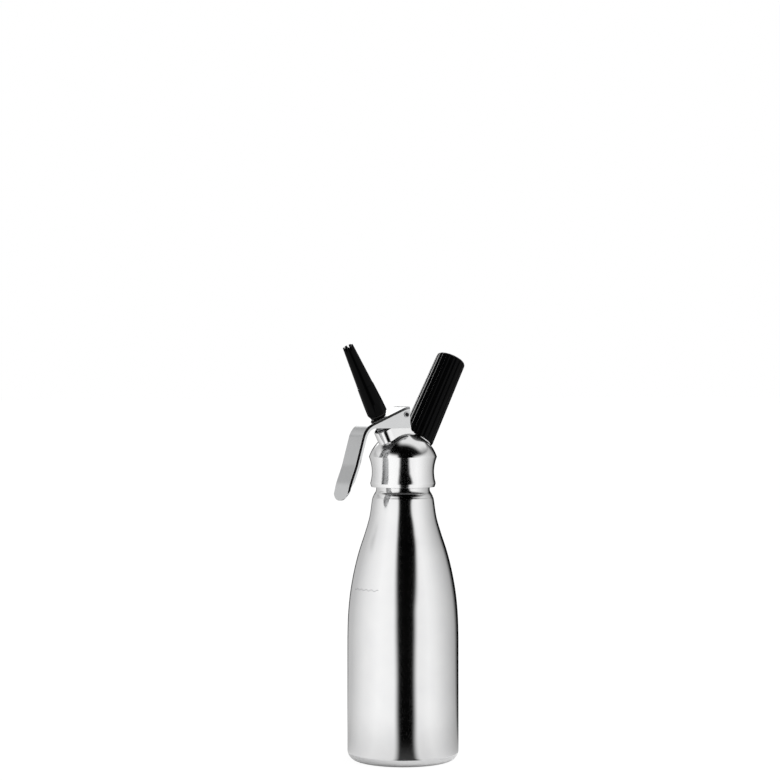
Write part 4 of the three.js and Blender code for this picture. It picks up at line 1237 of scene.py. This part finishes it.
# The square soft box hangs over the head, behind it and to the right. Its edges are given as
# parts of a direction of length one: up, towards the camera and across to the right
box_light = 0.88
box_low_edge = (0.45, 0.6)
box_near_edge = (0.32, -0.05)
box_far_edge = (-0.95, -0.7)
box_left_edge = (-0.28, 0.0)
box_right_edge = (0.95, 0.6)
overhead = node(tree, "VectorMath", {0: spot, 1: (0, 0, tent_centre)}, operation="SUBTRACT").outputs[0]
overhead = node(tree, "VectorMath", {0: overhead}, operation="NORMALIZE").outputs[0]
box_toward, box_across, box_up = node(tree, "SeparateXYZ", {0: overhead}).outputs
box = product(
    tree, ease(tree, box_up, *box_low_edge), box_light, span(tree, box_toward, box_near_edge, box_far_edge),
    span(tree, box_across, box_left_edge, box_right_edge),
)
glow = node(tree, "Emission", {"Color": (1, 1, 1, 1), "Strength": compute(tree, "MAXIMUM", walls, box)})
tree.links.new(glow.outputs[0], tree.nodes["Material Output"].inputs["Surface"])
tent.data.materials.append(lit_paper)
tent.visible_camera = False
tent.visible_diffuse = False
tent.visible_shadow = False
tent.visible_transmission = False

# Light. An even white world and a large soft lamp from the front right, at a plain level, and a
# strip lamp far back at the left that draws the bright lines along the ribs of the black holder.
world_light = 0.8
lamp_size = 1.2
lamp_power = 14.0
lamp_place = Vector((0.9, -1.0, 1.6))
strip_width = 1.3
strip_height = 0.9
strip_power = 42.0
strip_target = Vector((0, 0, 0.3))
strip_offset = Vector((-1.3, -1.25, 0.75))
world = bpy.data.worlds.new("studio")
bpy.context.scene.world = world
world.use_nodes = True
tree = world.node_tree
backdrop = tree.nodes["Background"]
seen = node(tree, "LightPath")
shiny = compute(tree, "MAXIMUM", seen.outputs["Is Camera Ray"], seen.outputs["Is Glossy Ray"])
clear = compute(tree, "MAXIMUM", shiny, seen.outputs["Is Transmission Ray"])
level = node(tree, "MapRange", {"Value": clear, "To Min": world_light, "To Max": 1.0})
tree.links.new(level.outputs[0], backdrop.inputs["Strength"])
backdrop.inputs["Color"].default_value = (1, 1, 1, 1)


def area_lamp(name, width, height, power, place, target):
    """A flat lamp at place that faces target."""
    data = bpy.data.lights.new(name, "AREA")
    data.shape = "RECTANGLE"
    data.size = width
    data.size_y = height
    data.energy = power
    made = placed(name, data)
    made.location = place
    made.rotation_euler = (target - place).to_track_quat("-Z", "Y").to_euler()
    return made


lamp = area_lamp("soft_lamp", lamp_size, lamp_size, lamp_power, lamp_place, Vector())
lamp.visible_glossy = False
strip_place = strip_target + tent_facing.to_3x3() @ strip_offset
strip = area_lamp("strip_lamp", strip_width, strip_height, strip_power, strip_place, strip_target)
strip.visible_camera = False
black_pieces = bpy.data.collections.new("black_pieces")
for piece in (adapter, nozzle, holder):
    black_pieces.objects.link(piece)
strip.light_linking.receiver_collection = black_pieces

bpy.context.scene.view_settings.view_transform = "Standard"
